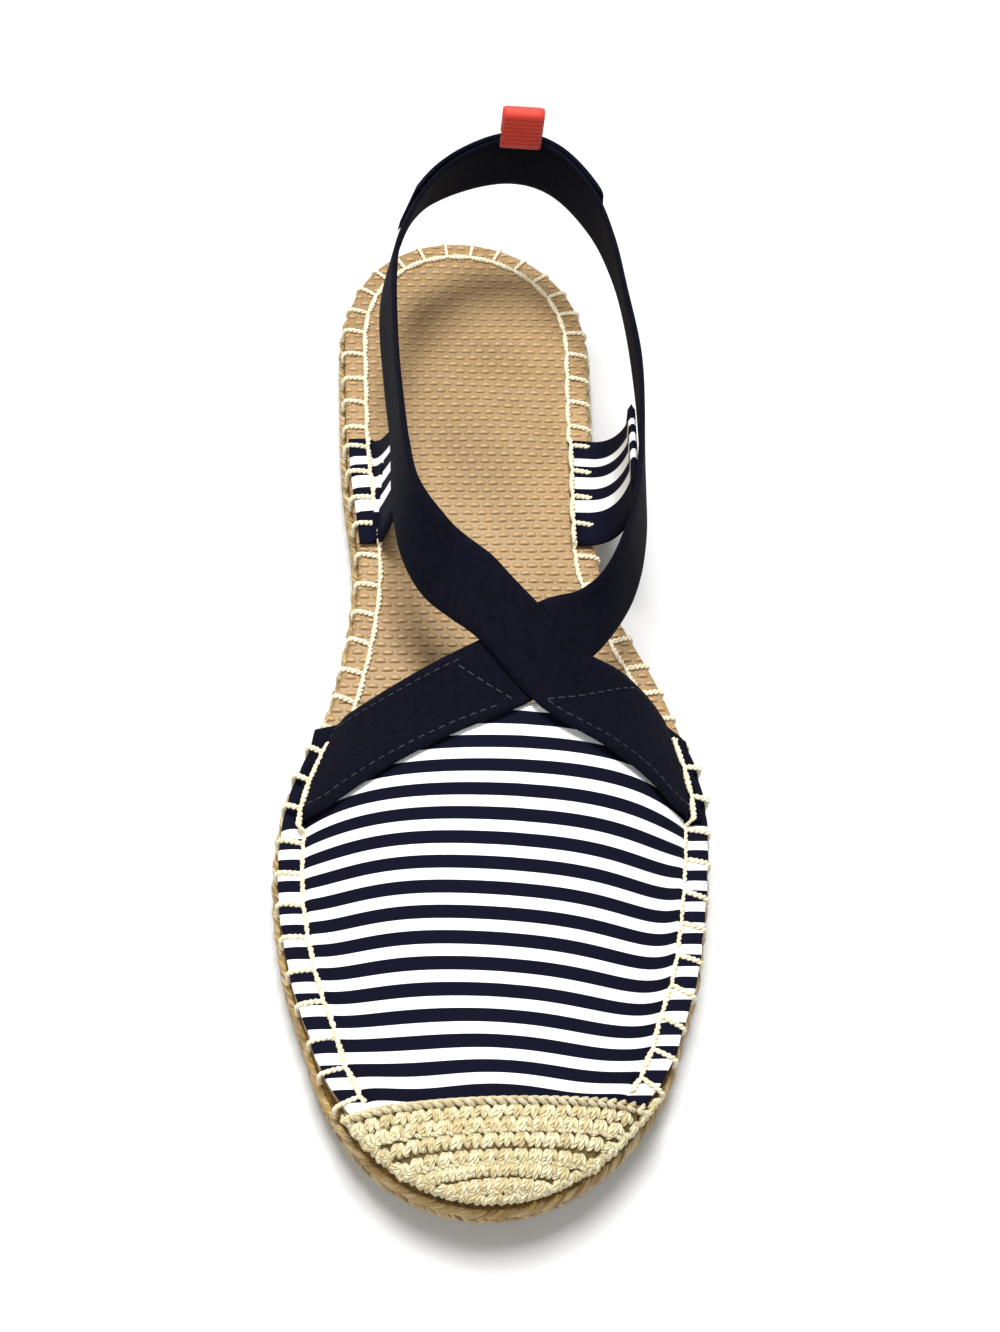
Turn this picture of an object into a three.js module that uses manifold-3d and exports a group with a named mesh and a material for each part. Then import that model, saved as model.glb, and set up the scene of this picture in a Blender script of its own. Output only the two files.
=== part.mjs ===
// A left slingback espadrille: a flat jute sole, a low striped vamp with a crochet toe cap, and one
// elastic band that crosses over the instep and runs round the heel. Millimetres, +Z up, toe at -Y,
// outer side of the foot at +X. Each piece of the real shoe is one mesh.

import * as THREE from "three";
import { mergeVertices } from "three/addons/utils/BufferGeometryUtils.js";
import Module from "manifold-3d";

const wasm = await Module();
wasm.setup();

// Driving dimensions

const soleLength = 255;
const ballWidth = 94.8;
const toeSpring = 5;            // lift of the sole at the very toe
const springLength = 60;        // stretch of the toe over which the sole lifts
const clearance = 0.3;          // air between pieces that touch

const outsoleThickness = 1.8;
const juteThickness = 8.2;
const juteBulge = 1.3;          // how far each rope row stands out past the footbed
const juteGroove = 0.35;        // share of that between the rows
const outsoleReach = 0.6;       // how far the rubber stands out past the footbed
const outsoleRounding = 0.4;
const footbedThickness = 3.9;
const footbedRounding = 0.6;

const borderWidth = 5;          // flat sewn border of the upper, all round the sole's top
const toeBorderWidth = 1.2;     // the same border under the toe cap
const borderThickness = 1.2;
const upperWall = 2;
const instepRise = 21.3;        // top of the upper above its border, at the throat
const toeTuck = 2;              // how far the sole's top edge draws in under the toe cap
const capWall = 1.5;
const capSeat = 0.45;           // air under the toe cap
const capEase = 0.8;            // rounding of the cap over the sole's edge
const capHem = 0.5;             // air between the toe cap's lower edge and the jute

const elasticWidth = 19;
const elasticThickness = 1.3;
const slingRise = 25.5;         // lower edge of the band above the footbed, along the sides
const bandSeat = 0.9;           // air under the band where it lies on the upper
const patchEase = 0.15;         // extra air behind the heel patch, where the band bends
const patchThickness = 1.6;
const patchRows = 2.2;          // rows of the band that the heel patch covers, to each side
const tabThickness = 1.8;
const tabRootWidth = 31;
const tabTopWidth = 21;
const tabTopHeight = 33;        // top of a side tab above the footbed
const tabTuck = 0.4;            // how far the tab's sewn root stays inside the sole's edge
const tabEase = 0.185;          // extra air between a tab and the band, where both bend
const loopWidth = 10;
const loopHeight = 10;
const loopDepth = 3.8;
const loopTail = 1.5;             // sewn end of the ribbon, down the inside of the band
const ribbonThickness = 1;
const bandSag = 0.8;            // how far the band bends away behind the flat ribbon

// Levels

const juteBottom = outsoleThickness + clearance;
const juteTop = juteBottom + juteThickness;
const footbedBottom = juteTop + clearance;
const footbedTop = footbedBottom + footbedThickness;
const borderBottom = footbedTop + clearance;
const borderTop = borderBottom + borderThickness;

// Places along the shoe, as shares of the sole's length from its middle

const upperRear = -0.094 * soleLength;
const capLine = -0.427 * soleLength;
const toeFan = -0.404 * soleLength;
const springStart = -soleLength / 2 + springLength;
const tuckStart = -0.364 * soleLength;      // the sole's top edge draws in between these two
const tuckEnd = -0.458 * soleLength;
const narrowStart = -0.411 * soleLength;    // the upper's border narrows between these two
const narrowEnd = -0.466 * soleLength;
const capFormRear = -0.372 * soleLength;

// Half widths of the sole, as shares of the ball width, by share of the length from the heel
const outlineTable = [
  { along: 0.14, outer: 0.332, inner: 0.328 },
  { along: 0.28, outer: 0.315, inner: 0.325 },
  { along: 0.42, outer: 0.315, inner: 0.302 },
  { along: 0.55, outer: 0.444, inner: 0.367 },
  { along: 0.65, outer: 0.506, inner: 0.473 },
  { along: 0.74, outer: 0.487, inner: 0.492 },
  { along: 0.86, outer: 0.418, inner: 0.439 },
];
const heelRound = { share: 0.14, power: 2.2, shift: -0.007 };
const toeRound = { share: 0.2, power: 2.04, shift: -0.036 };

// Crest of the last over the instep: height as a share of the instep rise, side place as a share
// of the ball width, by share of the length from the middle
const crestTable = [
  { along: -0.404, rise: 0.39, side: -0.03 },
  { along: -0.353, rise: 0.512, side: -0.018 },
  { along: -0.302, rise: 0.643, side: -0.004 },
  { along: -0.251, rise: 0.746, side: 0.012 },
  { along: -0.196, rise: 0.84, side: 0.03 },
  { along: -0.149, rise: 0.911, side: 0.047 },
  { along: -0.098, rise: 0.99, side: 0.065 },
  { along: -0.047, rise: 1.32, side: 0.082 },
  { along: 0, rise: 1.67, side: 0.093 },
  { along: 0.04, rise: 1.9, side: 0.097 },
];
const archPower = 2.1;
const archFullness = 1.25;

// The elastic band, from its outer root over the instep, round the heel and back under itself to
// its inner root. side, along and up place its front or lower edge, as shares of the ball width,
// the sole's length and the sling rise. leanSide and leanAlong are the plan part of the direction
// across the band. hold is 1 where it lies on the last, layer is 1 where it crosses over itself.
const bandTable = [
  { side: 0.494, along: -0.175, up: 0, leanSide: -0.09, leanAlong: 0.99, hold: 1, layer: 0 },
  { side: 0.45, along: -0.175, up: 0, leanSide: 0.1, leanAlong: 1.05, hold: 1, layer: 0 },
  { side: 0.405, along: -0.169, up: 0, leanSide: 0.22, leanAlong: 1.08, hold: 1, layer: 0 },
  { side: 0.353, along: -0.155, up: 0, leanSide: 0.27, leanAlong: 1.05, hold: 1, layer: 0 },
  { side: 0.256, along: -0.137, up: 0, leanSide: 0.24, leanAlong: 0.95, hold: 1, layer: 0.6 },
  { side: 0.141, along: -0.118, up: 0, leanSide: 0.22, leanAlong: 0.78, hold: 1, layer: 1 },
  { side: 0.061, along: -0.095, up: 0, leanSide: 0.19, leanAlong: 0.83, hold: 1, layer: 1 },
  { side: -0.025, along: -0.06, up: 0.95, leanSide: 0.28, leanAlong: 0.67, hold: 1, layer: 1 },
  { side: -0.097, along: -0.028, up: 0.957, leanSide: 0.28, leanAlong: 0.66, hold: 0.5, layer: 0.6 },
  { side: -0.169, along: 0.007, up: 0.98, leanSide: 0.25, leanAlong: 0.55, hold: 0, layer: 0 },
  { side: -0.21, along: 0.045, up: 1, leanSide: 0.18, leanAlong: 0.45, hold: 0, layer: 0 },
  { side: -0.224, along: 0.094, up: 1, leanSide: 0.15, leanAlong: 0.28, hold: 0, layer: 0 },
  { side: -0.223, along: 0.157, up: 1, leanSide: 0.08, leanAlong: 0.1, hold: 0, layer: 0 },
  { side: -0.234, along: 0.2235, up: 0.984, leanSide: 0.1, leanAlong: 0, hold: 0, layer: 0 },
  { side: -0.243, along: 0.298, up: 1.04, leanSide: 0.15, leanAlong: 0, hold: 0, layer: 0 },
  { side: -0.224, along: 0.349, up: 1.1, leanSide: 0.14, leanAlong: -0.1, hold: 0, layer: 0 },
  { side: -0.165, along: 0.418, up: 1.135, leanSide: 0.19, leanAlong: -0.24, hold: 0, layer: 0 },
  { side: -0.063, along: 0.453, up: 1.155, leanSide: 0.13, leanAlong: -0.22, hold: 0, layer: 0 },
  { side: 0.095, along: 0.473, up: 1.16, leanSide: 0, leanAlong: -0.18, hold: 0, layer: 0 },
  { side: 0.216, along: 0.459, up: 1.155, leanSide: -0.06, leanAlong: -0.17, hold: 0, layer: 0 },
  { side: 0.311, along: 0.41, up: 1.135, leanSide: -0.1, leanAlong: -0.13, hold: 0, layer: 0 },
  { side: 0.365, along: 0.351, up: 1.1, leanSide: -0.17, leanAlong: -0.05, hold: 0, layer: 0 },
  { side: 0.39, along: 0.292, up: 1.04, leanSide: -0.19, leanAlong: -0.02, hold: 0, layer: 0 },
  { side: 0.398, along: 0.22, up: 0.992, leanSide: -0.13, leanAlong: 0, hold: 0, layer: 0 },
  { side: 0.394, along: 0.157, up: 1, leanSide: -0.15, leanAlong: -0.02, hold: 0, layer: 0 },
  { side: 0.387, along: 0.106, up: 1, leanSide: -0.2, leanAlong: -0.05, hold: 0, layer: 0 },
  { side: 0.377, along: 0.059, up: 1, leanSide: -0.27, leanAlong: 0, hold: 0, layer: 0 },
  { side: 0.351, along: 0.014, up: 0.98, leanSide: -0.3, leanAlong: 0.1, hold: 0, layer: 0 },
  { side: 0.306, along: -0.02, up: 0.953, leanSide: -0.31, leanAlong: 0.18, hold: 0.3, layer: 0 },
  { side: 0.24, along: -0.055, up: 0.92, leanSide: -0.33, leanAlong: 0.5, hold: 1, layer: 0 },
  { side: 0.151, along: -0.084, up: 0, leanSide: -0.36, leanAlong: 0.72, hold: 1, layer: 0 },
  { side: 0.049, along: -0.106, up: 0, leanSide: -0.33, leanAlong: 0.76, hold: 1, layer: 0 },
  { side: -0.097, along: -0.125, up: 0, leanSide: -0.2, leanAlong: 0.85, hold: 1, layer: 0 },
  { side: -0.242, along: -0.146, up: 0, leanSide: -0.1, leanAlong: 0.98, hold: 1, layer: 0 },
  { side: -0.35, along: -0.164, up: 0, leanSide: 0, leanAlong: 1.14, hold: 1, layer: 0 },
  { side: -0.393, along: -0.171, up: 0, leanSide: 0.06, leanAlong: 1.2, hold: 1, layer: 0 },
  { side: -0.46, along: -0.172, up: 0, leanSide: 0.24, leanAlong: 1.18, hold: 1, layer: 0 },
];
const bandBack = 18;            // the row at the middle of the heel
const loopPlace = 18.18;        // where the pull loop stands on the band, a little to the outer side
const bandStepsPerRow = 3;
const bandStepsAcross = 5;
const bandOverlap = 0.15;       // how far the crossing's two layers are pressed together

// Small helpers

const clamp = THREE.MathUtils.clamp;
const lerp = THREE.MathUtils.lerp;
const vec = (x, y, z) => new THREE.Vector3(x, y, z);

// Smooth value of one column of a table at a place given by its key column
function lookUp(table, key, column, place) {
  const last = table.length - 1;
  let i = table.findIndex((row) => row[key] > place) - 1;
  if (i === -2) i = last - 1;
  if (i < 0) i = 0;
  const slope = (k) => {
    const a = table[Math.max(k - 1, 0)];
    const b = table[Math.min(k + 1, last)];
    return (b[column] - a[column]) / (b[key] - a[key]);
  };
  const span = table[i + 1][key] - table[i][key];
  const t = (place - table[i][key]) / span;
  if (t < 0) return table[0][column];
  if (t > 1) return table[last][column] + slope(last) * (place - table[last][key]);
  const t2 = t * t;
  const t3 = t2 * t;
  return (2 * t3 - 3 * t2 + 1) * table[i][column] + (t3 - 2 * t2 + t) * span * slope(i)
    + (3 * t2 - 2 * t3) * table[i + 1][column] + (t3 - t2) * span * slope(i + 1);
}

// Lift of the sole over the toe
function springAt(y) {
  const t = Math.max(0, (springStart - y) / springLength);
  return toeSpring * t * t;
}

// Closed solid from a list of triangles, each with three points
function solidFrom(triangles) {
  const positions = [];
  for (const triangle of triangles) {
    for (const p of triangle) positions.push(p.x, p.y, p.z);
  }
  const loose = new THREE.BufferGeometry();
  loose.setAttribute("position", new THREE.Float32BufferAttribute(positions, 3));
  const merged = mergeVertices(loose, 1e-3);
  const index = merged.index.array;
  const kept = [];
  for (let i = 0; i < index.length; i += 3) {
    const [a, b, c] = [index[i], index[i + 1], index[i + 2]];
    if (a !== b && b !== c && c !== a) kept.push(a, b, c);
  }
  merged.setIndex(kept);
  return merged;
}

function quad(list, a, b, c, d) {
  list.push([a, b, c], [a, c, d]);
}

// Solid between two grids of the same size. front faces the viewer who sees rows run away and
// columns run to the right. The far end is left to fold shut where foldedEnd is set.
function solidBetween(front, back, foldedEnd = false) {
  const triangles = [];
  const rows = front.length - 1;
  const cols = front[0].length - 1;
  for (let r = 0; r < rows; r++) {
    for (let c = 0; c < cols; c++) {
      quad(triangles, front[r][c], front[r][c + 1], front[r + 1][c + 1], front[r + 1][c]);
      quad(triangles, back[r][c], back[r + 1][c], back[r + 1][c + 1], back[r][c + 1]);
    }
    quad(triangles, front[r][0], front[r + 1][0], back[r + 1][0], back[r][0]);
    quad(triangles, front[r][cols], back[r][cols], back[r + 1][cols], front[r + 1][cols]);
  }
  for (let c = 0; c < cols; c++) {
    quad(triangles, front[0][c], back[0][c], back[0][c + 1], front[0][c + 1]);
    if (foldedEnd) continue;
    quad(triangles, front[rows][c], front[rows][c + 1], back[rows][c + 1], back[rows][c]);
  }
  return solidFrom(triangles);
}

// Unit normal at each point of a grid, also where points of it coincide
function gridNormals(grid) {
  const sums = new Map();
  const key = (p) => `${Math.round(p.x * 200)},${Math.round(p.y * 200)},${Math.round(p.z * 200)}`;
  const add = (p, n) => {
    if (!sums.has(key(p))) sums.set(key(p), vec(0, 0, 0));
    sums.get(key(p)).add(n);
  };
  for (let r = 0; r < grid.length - 1; r++) {
    for (let c = 0; c < grid[0].length - 1; c++) {
      const corners = [grid[r][c], grid[r][c + 1], grid[r + 1][c + 1], grid[r + 1][c]];
      const one = vec(0, 0, 0).subVectors(corners[2], corners[0]);
      const two = vec(0, 0, 0).subVectors(corners[3], corners[1]);
      const normal = one.cross(two);
      for (const p of corners) add(p, normal);
    }
  }
  return grid.map((row) => row.map((p) => sums.get(key(p)).clone().normalize()));
}

function offsetGrid(grid, normals, distance) {
  return grid.map((row, r) => row.map((p, c) => p.clone().addScaledVector(normals[r][c], distance)));
}

function toManifold(geometry) {
  const mesh = new wasm.Mesh({
    numProp: 3,
    vertProperties: new Float32Array(geometry.attributes.position.array),
    triVerts: new Uint32Array(geometry.index.array),
  });
  return new wasm.Manifold(mesh);
}

function fromManifold(solid) {
  const mesh = solid.getMesh();
  const geometry = new THREE.BufferGeometry();
  geometry.setAttribute("position", new THREE.Float32BufferAttribute(mesh.vertProperties, 3));
  geometry.setIndex(new THREE.Uint32BufferAttribute(mesh.triVerts, 1));
  return geometry;
}

// The largest shell of a solid, so that air trapped between pressed layers is closed up
function withoutPockets(solid) {
  return solid.decompose().reduce((best, shell) => (shell.volume() > best.volume() ? shell : best));
}

// Outline of the sole, as a closed curve: 0 is the middle of the heel, 1 the toe, and the outer
// side comes first. The point is moved outwards by out.

function outlineAt(turn) {
  const wrapped = ((turn % 2) + 2) % 2;
  const outerSide = wrapped <= 1;
  const y = soleLength / 2 * Math.cos(Math.PI * wrapped);
  const along = 0.5 - y / soleLength;
  const tableEnds = [outlineTable[0].along, outlineTable[outlineTable.length - 1].along];
  const share = lookUp(outlineTable, "along", outerSide ? "outer" : "inner", clamp(along, ...tableEnds));
  const heel = clamp((heelRound.share - along) / heelRound.share, 0, 1);
  const toe = clamp((along - 1 + toeRound.share) / toeRound.share, 0, 1);
  const rounding = Math.sqrt(Math.max(0, 1 - heel ** heelRound.power))
    * Math.sqrt(Math.max(0, 1 - toe ** toeRound.power));
  const shift = ballWidth * (heelRound.shift * heel * heel + toeRound.shift * toe * toe);
  const half = ballWidth * share * rounding;
  return vec(shift + (outerSide ? half : -half), y, 0);
}

function outlinePoint(turn, out) {
  const step = 0.004;
  const tangent = outlineAt(turn + step).sub(outlineAt(turn - step)).normalize();
  return outlineAt(turn).add(vec(-tangent.y, tangent.x, 0).multiplyScalar(out));
}

// The same outline at the sole's top, where it draws in under the toe cap
function topEdge(turn, out) {
  const tuck = THREE.MathUtils.smoothstep(-outlineAt(turn).y, -tuckStart, -tuckEnd);
  return outlinePoint(turn, out - toeTuck * tuck);
}

// Turn at which the outline passes a place along the shoe
function turnAt(y, outerSide) {
  const turn = Math.acos(clamp(2 * y / soleLength, -1, 1)) / Math.PI;
  return outerSide ? turn : 2 - turn;
}

// Border that stays flat round the upper: it narrows under the toe cap
function borderAt(y) {
  const t = THREE.MathUtils.smoothstep(-y, -narrowStart, -narrowEnd);
  return lerp(borderWidth, toeBorderWidth, t);
}

// Top of the last, from the border's level up

const crestSide = (y) => ballWidth * lookUp(crestTable, "along", "side", y / soleLength);
const crestRise = (y) => instepRise * lookUp(crestTable, "along", "rise", y / soleLength);
const archShape = (share) => (1 - Math.abs(share) ** archPower) ** (1 / archFullness);

function lastTop(x, y) {
  const crest = crestSide(y);
  const turn = turnAt(y, x > crest);
  const foot = topEdge(turn, -borderAt(y)).x;
  const share = clamp((x - crest) / (foot - crest), 0, 1);
  return borderTop + springAt(y) + crestRise(y) * archShape(share);
}

const steepest = 2.2;           // limit of the lift where the last falls steeply to the border

// A point a given distance off the last
function offLast(x, y, distance) {
  const step = 0.5;
  const slopeX = (lastTop(x + step, y) - lastTop(x - step, y)) / (2 * step);
  const slopeY = (lastTop(x, y + step) - lastTop(x, y - step)) / (2 * step);
  const steepness = Math.min(Math.hypot(1, slopeX, slopeY), steepest);
  return vec(x, y, lastTop(x, y) + distance * steepness);
}

// Sole pieces

const outlineSteps = 96;

// A slab that follows the outline. Each row of the profile gives how far it stands out and its
// height, from the bottom up.
function soleSlab(profile, edge = outlinePoint) {
  const rings = profile.map((row) => {
    const ring = [];
    for (let k = 0; k < outlineSteps; k++) {
      const p = edge((2 * k) / outlineSteps, row.out);
      ring.push(vec(p.x, p.y, row.z + springAt(p.y)));
    }
    return ring;
  });
  const triangles = [];
  const next = (k) => (k + 1) % outlineSteps;
  for (let r = 0; r < rings.length - 1; r++) {
    for (let k = 0; k < outlineSteps; k++) {
      quad(triangles, rings[r][next(k)], rings[r][k], rings[r + 1][k], rings[r + 1][next(k)]);
    }
  }
  const bottom = rings[0];
  const top = rings[rings.length - 1];
  for (let k = 0; k < outlineSteps / 2; k++) {
    const mirror = (outlineSteps - k) % outlineSteps;
    const mirrorNext = outlineSteps - k - 1;
    quad(triangles, bottom[mirror], bottom[k], bottom[k + 1], bottom[mirrorNext]);
    quad(triangles, top[mirror], top[mirrorNext], top[k + 1], top[k]);
  }
  return solidFrom(triangles);
}

const outsoleProfile = [
  { out: outsoleReach - outsoleRounding, z: 0 },
  { out: outsoleReach, z: outsoleRounding },
  { out: outsoleReach, z: outsoleThickness },
];

// Two rope rows, one above the other, each a rounded bulge of the jute's side
function juteProfile() {
  const rowHeight = juteThickness / 2;
  const bulgePoints = 4;
  const profile = [];
  for (const row of [0, 1]) {
    for (let k = 0; k <= bulgePoints; k++) {
      if (row === 1 && k === 0) continue;
      const t = k / bulgePoints;
      const out = juteBulge * lerp(juteGroove, 1, Math.sin(Math.PI * t));
      profile.push({ out, z: juteBottom + rowHeight * (row + t) });
    }
  }
  return profile;
}

const footbedProfile = [
  { out: -footbedRounding, z: footbedBottom },
  { out: 0, z: footbedBottom + footbedRounding },
  { out: 0, z: footbedTop - footbedRounding },
  { out: -footbedRounding, z: footbedTop },
];

// Upper

const sideSteps = 15;           // stations from the throat to the toe's fan
const fanSteps = 9;             // stations round the toe
const archSteps = 8;            // points from the border up to the crest

// Places along the shoe where the upper has a section, up to the very toe
function upperStations(rear) {
  const tip = -soleLength / 2;
  const stations = [];
  for (let k = 0; k < sideSteps; k++) stations.push(lerp(rear, toeFan, k / sideSteps));
  for (let k = 0; k <= fanSteps; k++) {
    stations.push(toeFan + (tip - toeFan) * Math.sin((Math.PI / 2) * (k / fanSteps)));
  }
  return stations;
}

// One section's rib from its foot up to the crest. Past the toe's fan all ribs meet in one point
// of the crest.
function archRib(y, foot) {
  const top = Math.max(y, toeFan);
  const crest = vec(crestSide(top), y > toeFan ? foot.y : toeFan, 0);
  const rib = [];
  for (let k = 0; k <= archSteps; k++) {
    const share = Math.cos((Math.PI / 2) * (k / archSteps));
    const p = vec(lerp(crest.x, foot.x, share), lerp(crest.y, foot.y, share), 0);
    p.z = borderTop + springAt(p.y) + crestRise(top) * archShape(share);
    rib.push(p);
  }
  return rib;
}

// Rows of points across the form, from the outer side over the crest to the inner side, with
// the flat border's edge at both ends. out moves that edge past the sole's top edge.
function archRows(rear, out, border) {
  return upperStations(rear).map((y) => {
    const [outerHalf, innerHalf] = [true, false].map((outerSide) => {
      const turn = turnAt(y, outerSide);
      const edge = topEdge(turn, out);
      edge.z = borderTop + springAt(edge.y);
      return [edge, ...archRib(y, topEdge(turn, out - border(y)))];
    });
    return [...outerHalf, ...innerHalf.reverse().slice(1)];
  });
}

function makeUpper() {
  const outer = archRows(upperRear, 0, borderAt);
  const normals = gridNormals(outer);
  const inner = offsetGrid(outer, normals, -upperWall);
  const last = outer[0].length - 1;
  outer.forEach((row, r) => {
    for (const c of [0, last]) {
      inner[r][c] = row[c].clone().setZ(row[c].z - borderThickness);
    }
    for (const c of [1, last - 1]) {
      const inwards = vec(crestSide(row[c].y), Math.max(row[c].y, toeFan), 0).sub(row[c]).setZ(0);
      inner[r][c] = row[c].clone().addScaledVector(inwards.normalize(), upperWall);
      inner[r][c].z = row[c].z - borderThickness;
    }
  });
  return solidBetween(outer, inner, true);
}

// Toe cap

// Closed form of the toe, a given distance off the last, down to a hem past the sole's edge. It
// has no flat border: the cap runs from the crest straight to the edge.
function toeForm(distance, hemLevel) {
  const rows = archRows(capFormRear, distance, () => capEase);
  const raised = offsetGrid(rows, gridNormals(rows), distance);
  const last = rows[0].length - 1;
  const lowered = (p) => p.clone().setZ(hemLevel + springAt(p.y));
  const skin = raised.map((row, r) => {
    for (const c of [0, last]) row[c] = rows[r][c].clone();
    return [lowered(rows[r][0]), ...row, lowered(rows[r][last])];
  });
  const middle = (last + 2) / 2;
  const base = skin.map((row, r) => {
    const y = Math.max(rows[r][0].y, toeFan);
    const centre = lowered(vec(crestSide(y), y, 0));
    return row.map((p, c) => {
      const end = c <= middle ? row[0] : row[row.length - 1];
      return centre.clone().lerp(end, Math.abs(c - middle) / middle);
    });
  });
  return solidBetween(skin, base, true);
}

function makeToeCap() {
  const hemLevel = juteTop + capHem;
  const over = toManifold(toeForm(capSeat + capWall, hemLevel));
  const under = toManifold(toeForm(capSeat, hemLevel - capHem));
  const box = new THREE.BoxGeometry(2 * ballWidth, soleLength, soleLength);
  box.translate(0, capLine - soleLength / 2, 0);
  box.deleteAttribute("normal");
  box.deleteAttribute("uv");
  const front = toManifold(mergeVertices(box));
  return fromManifold(over.subtract(under).intersect(front));
}

// Elastic band

const bandRow = (place) => {
  const numbered = bandTable.map((row, number) => ({ ...row, number }));
  const value = (column) => lookUp(numbered, "number", column, place);
  return {
    side: value("side") * ballWidth,
    along: value("along") * soleLength,
    up: footbedTop + value("up") * slingRise,
    leanSide: value("leanSide"),
    leanAlong: value("leanAlong"),
    hold: clamp(value("hold"), 0, 1),
    layer: clamp(value("layer"), 0, 1),
  };
};

// A point of the band's middle surface: place counts rows of the table, across goes from 0 at the
// front or lower edge to 1 at the other
function bandPoint(place, across) {
  const row = bandRow(place);
  const flat = Math.hypot(row.leanSide, row.leanAlong);
  const reach = across * elasticWidth;
  const x = row.side + row.leanSide * reach;
  const y = row.along + row.leanAlong * reach;
  const free = row.up + Math.sqrt(Math.max(0, 1 - flat * flat)) * reach;
  const stacked = row.layer * (elasticThickness - bandOverlap);
  const held = offLast(x, y, bandSeat + elasticThickness / 2 + stacked).z;
  return vec(x, y, lerp(free, held, row.hold));
}

function bandGrid(from, to, low = 0, high = 1) {
  const count = Math.round((to - from) * bandStepsPerRow);
  const grid = [];
  for (let k = 0; k <= count; k++) {
    const row = [];
    for (let c = 0; c <= bandStepsAcross; c++) {
      row.push(bandPoint(lerp(from, to, k / count), lerp(low, high, c / bandStepsAcross)));
    }
    grid.push(row);
  }
  return grid;
}

// A stretch of the band, moved off its middle surface: near and far are distances outwards
function bandStretch(grid, near, far) {
  const normals = gridNormals(grid);
  return solidBetween(offsetGrid(grid, normals, far), offsetGrid(grid, normals, near));
}

function makeBand() {
  const half = elasticThickness / 2;
  const joinShare = 0.05;
  const first = bandStretch(bandGrid(0, bandBack + joinShare), -half, half);
  const second = bandStretch(bandGrid(bandBack - joinShare, bandTable.length - 1), -half, half);
  const joined = toManifold(first).add(toManifold(second));
  return fromManifold(withoutPockets(joined));
}

function makeHeelPatch() {
  const grid = bandGrid(bandBack - patchRows, bandBack + patchRows);
  const near = elasticThickness / 2 + clearance + patchEase;
  return bandStretch(grid, near, near + patchThickness);
}

// Side tab: sewn on at the sole's edge, it stands up inside the band

const tabRootShare = 0.178;     // middle of the tab's root along the shoe, as a share
const tabTopShares = { outer: 0.147, inner: 0.14 };
const tabPlaces = { outer: 24.2, inner: 11.8 };     // the band's rows at the tabs' middles
const tabRowShare = 0.068;      // length of one row there, as a share of the sole
const tabSlopeShare = 0.6;      // share of the band's width whose slope the tab follows
const tabMeetShare = 0.74;      // share of its height at which a tab comes to lie on the band
const tabSwingPower = 0.45;     // below 1 the tab leans inwards mostly near its root
const tabRisePower = 1.4;       // above 1 it lies flatter there
const tabColumns = 10;
const tabHeights = 8;

function makeSideTab(outerSide) {
  const sign = outerSide ? 1 : -1;
  const topMiddle = (outerSide ? tabTopShares.outer : tabTopShares.inner) * soleLength;
  const level = borderBottom + tabThickness / 2;
  const behind = elasticThickness / 2 + clearance + tabEase + tabThickness / 2;
  const grid = [];
  for (let k = 0; k <= tabColumns; k++) {
    const share = k / tabColumns - 0.5;
    const rootY = tabRootShare * soleLength + share * tabRootWidth;
    const topY = topMiddle + share * tabTopWidth;
    const rows = share * tabTopWidth / (tabRowShare * soleLength);
    const place = outerSide ? tabPlaces.outer - rows : tabPlaces.inner + rows;
    const low = bandPoint(place, 0);
    const high = bandPoint(place, tabSlopeShare);
    const turn = turnAt(rootY, outerSide);
    const bend = outlinePoint(turn, -borderWidth).setZ(level);
    const column = [outlinePoint(turn, -tabTuck).setZ(level), bend];
    for (let h = 1; h <= tabHeights; h++) {
      const t = h / tabHeights;
      const z = lerp(level, footbedTop + tabTopHeight, t ** tabRisePower);
      const onBand = low.x + (high.x - low.x) * (z - low.z) / (high.z - low.z) - sign * behind;
      const swung = Math.min(1, t / tabMeetShare) ** tabSwingPower;
      column.push(vec(lerp(bend.x, onBand, swung), lerp(bend.y, topY, t), z));
    }
    grid.push(column);
  }
  return bandStretch(grid, -tabThickness / 2, tabThickness / 2);
}

// Pull loop: a ribbon folded over the band's top edge at the middle of the heel

function makePullLoop() {
  const top = bandPoint(loopPlace, 1);
  const lower = bandPoint(loopPlace, 0.5);
  const turning = 0.1;
  const sideways = bandPoint(loopPlace + turning, 1).sub(bandPoint(loopPlace - turning, 1));
  sideways.setZ(0).normalize();
  const outwards = vec(-sideways.y, sideways.x, 0);
  const lean = lower.sub(top).dot(outwards) / (top.z - lower.z);
  const seat = elasticThickness / 2 + clearance + bandSag;
  const inside = -seat - ribbonThickness / 2;
  const crown = (loopDepth - ribbonThickness) / 2;
  const outside = inside + 2 * crown;
  const crownRise = loopHeight - ribbonThickness / 2 - crown;
  const path = [[inside + lean * loopTail, -loopTail], [inside, 0], [inside, crownRise]];
  const crownSteps = 6;
  for (let k = 1; k <= crownSteps; k++) {
    const angle = Math.PI * (1 - k / crownSteps);
    path.push([inside + crown + crown * Math.cos(angle), crownRise + crown * Math.sin(angle)]);
  }
  path.push([outside, clearance + bandSag]);
  const grid = path.map(([out, up]) => [-0.5, 0.5].map((share) => {
    const p = top.clone().addScaledVector(sideways, share * loopWidth);
    return p.addScaledVector(outwards, out).setZ(top.z + up);
  }));
  return bandStretch(grid, -ribbonThickness / 2, ribbonThickness / 2);
}

// Materials and assembly

function cloth(color, roughness) {
  return new THREE.MeshStandardMaterial({ color, roughness, metalness: 0 });
}

const shoe = new THREE.Group();

function addPiece(name, geometry, material) {
  const mesh = new THREE.Mesh(geometry, material);
  mesh.name = name;
  shoe.add(mesh);
}

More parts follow.
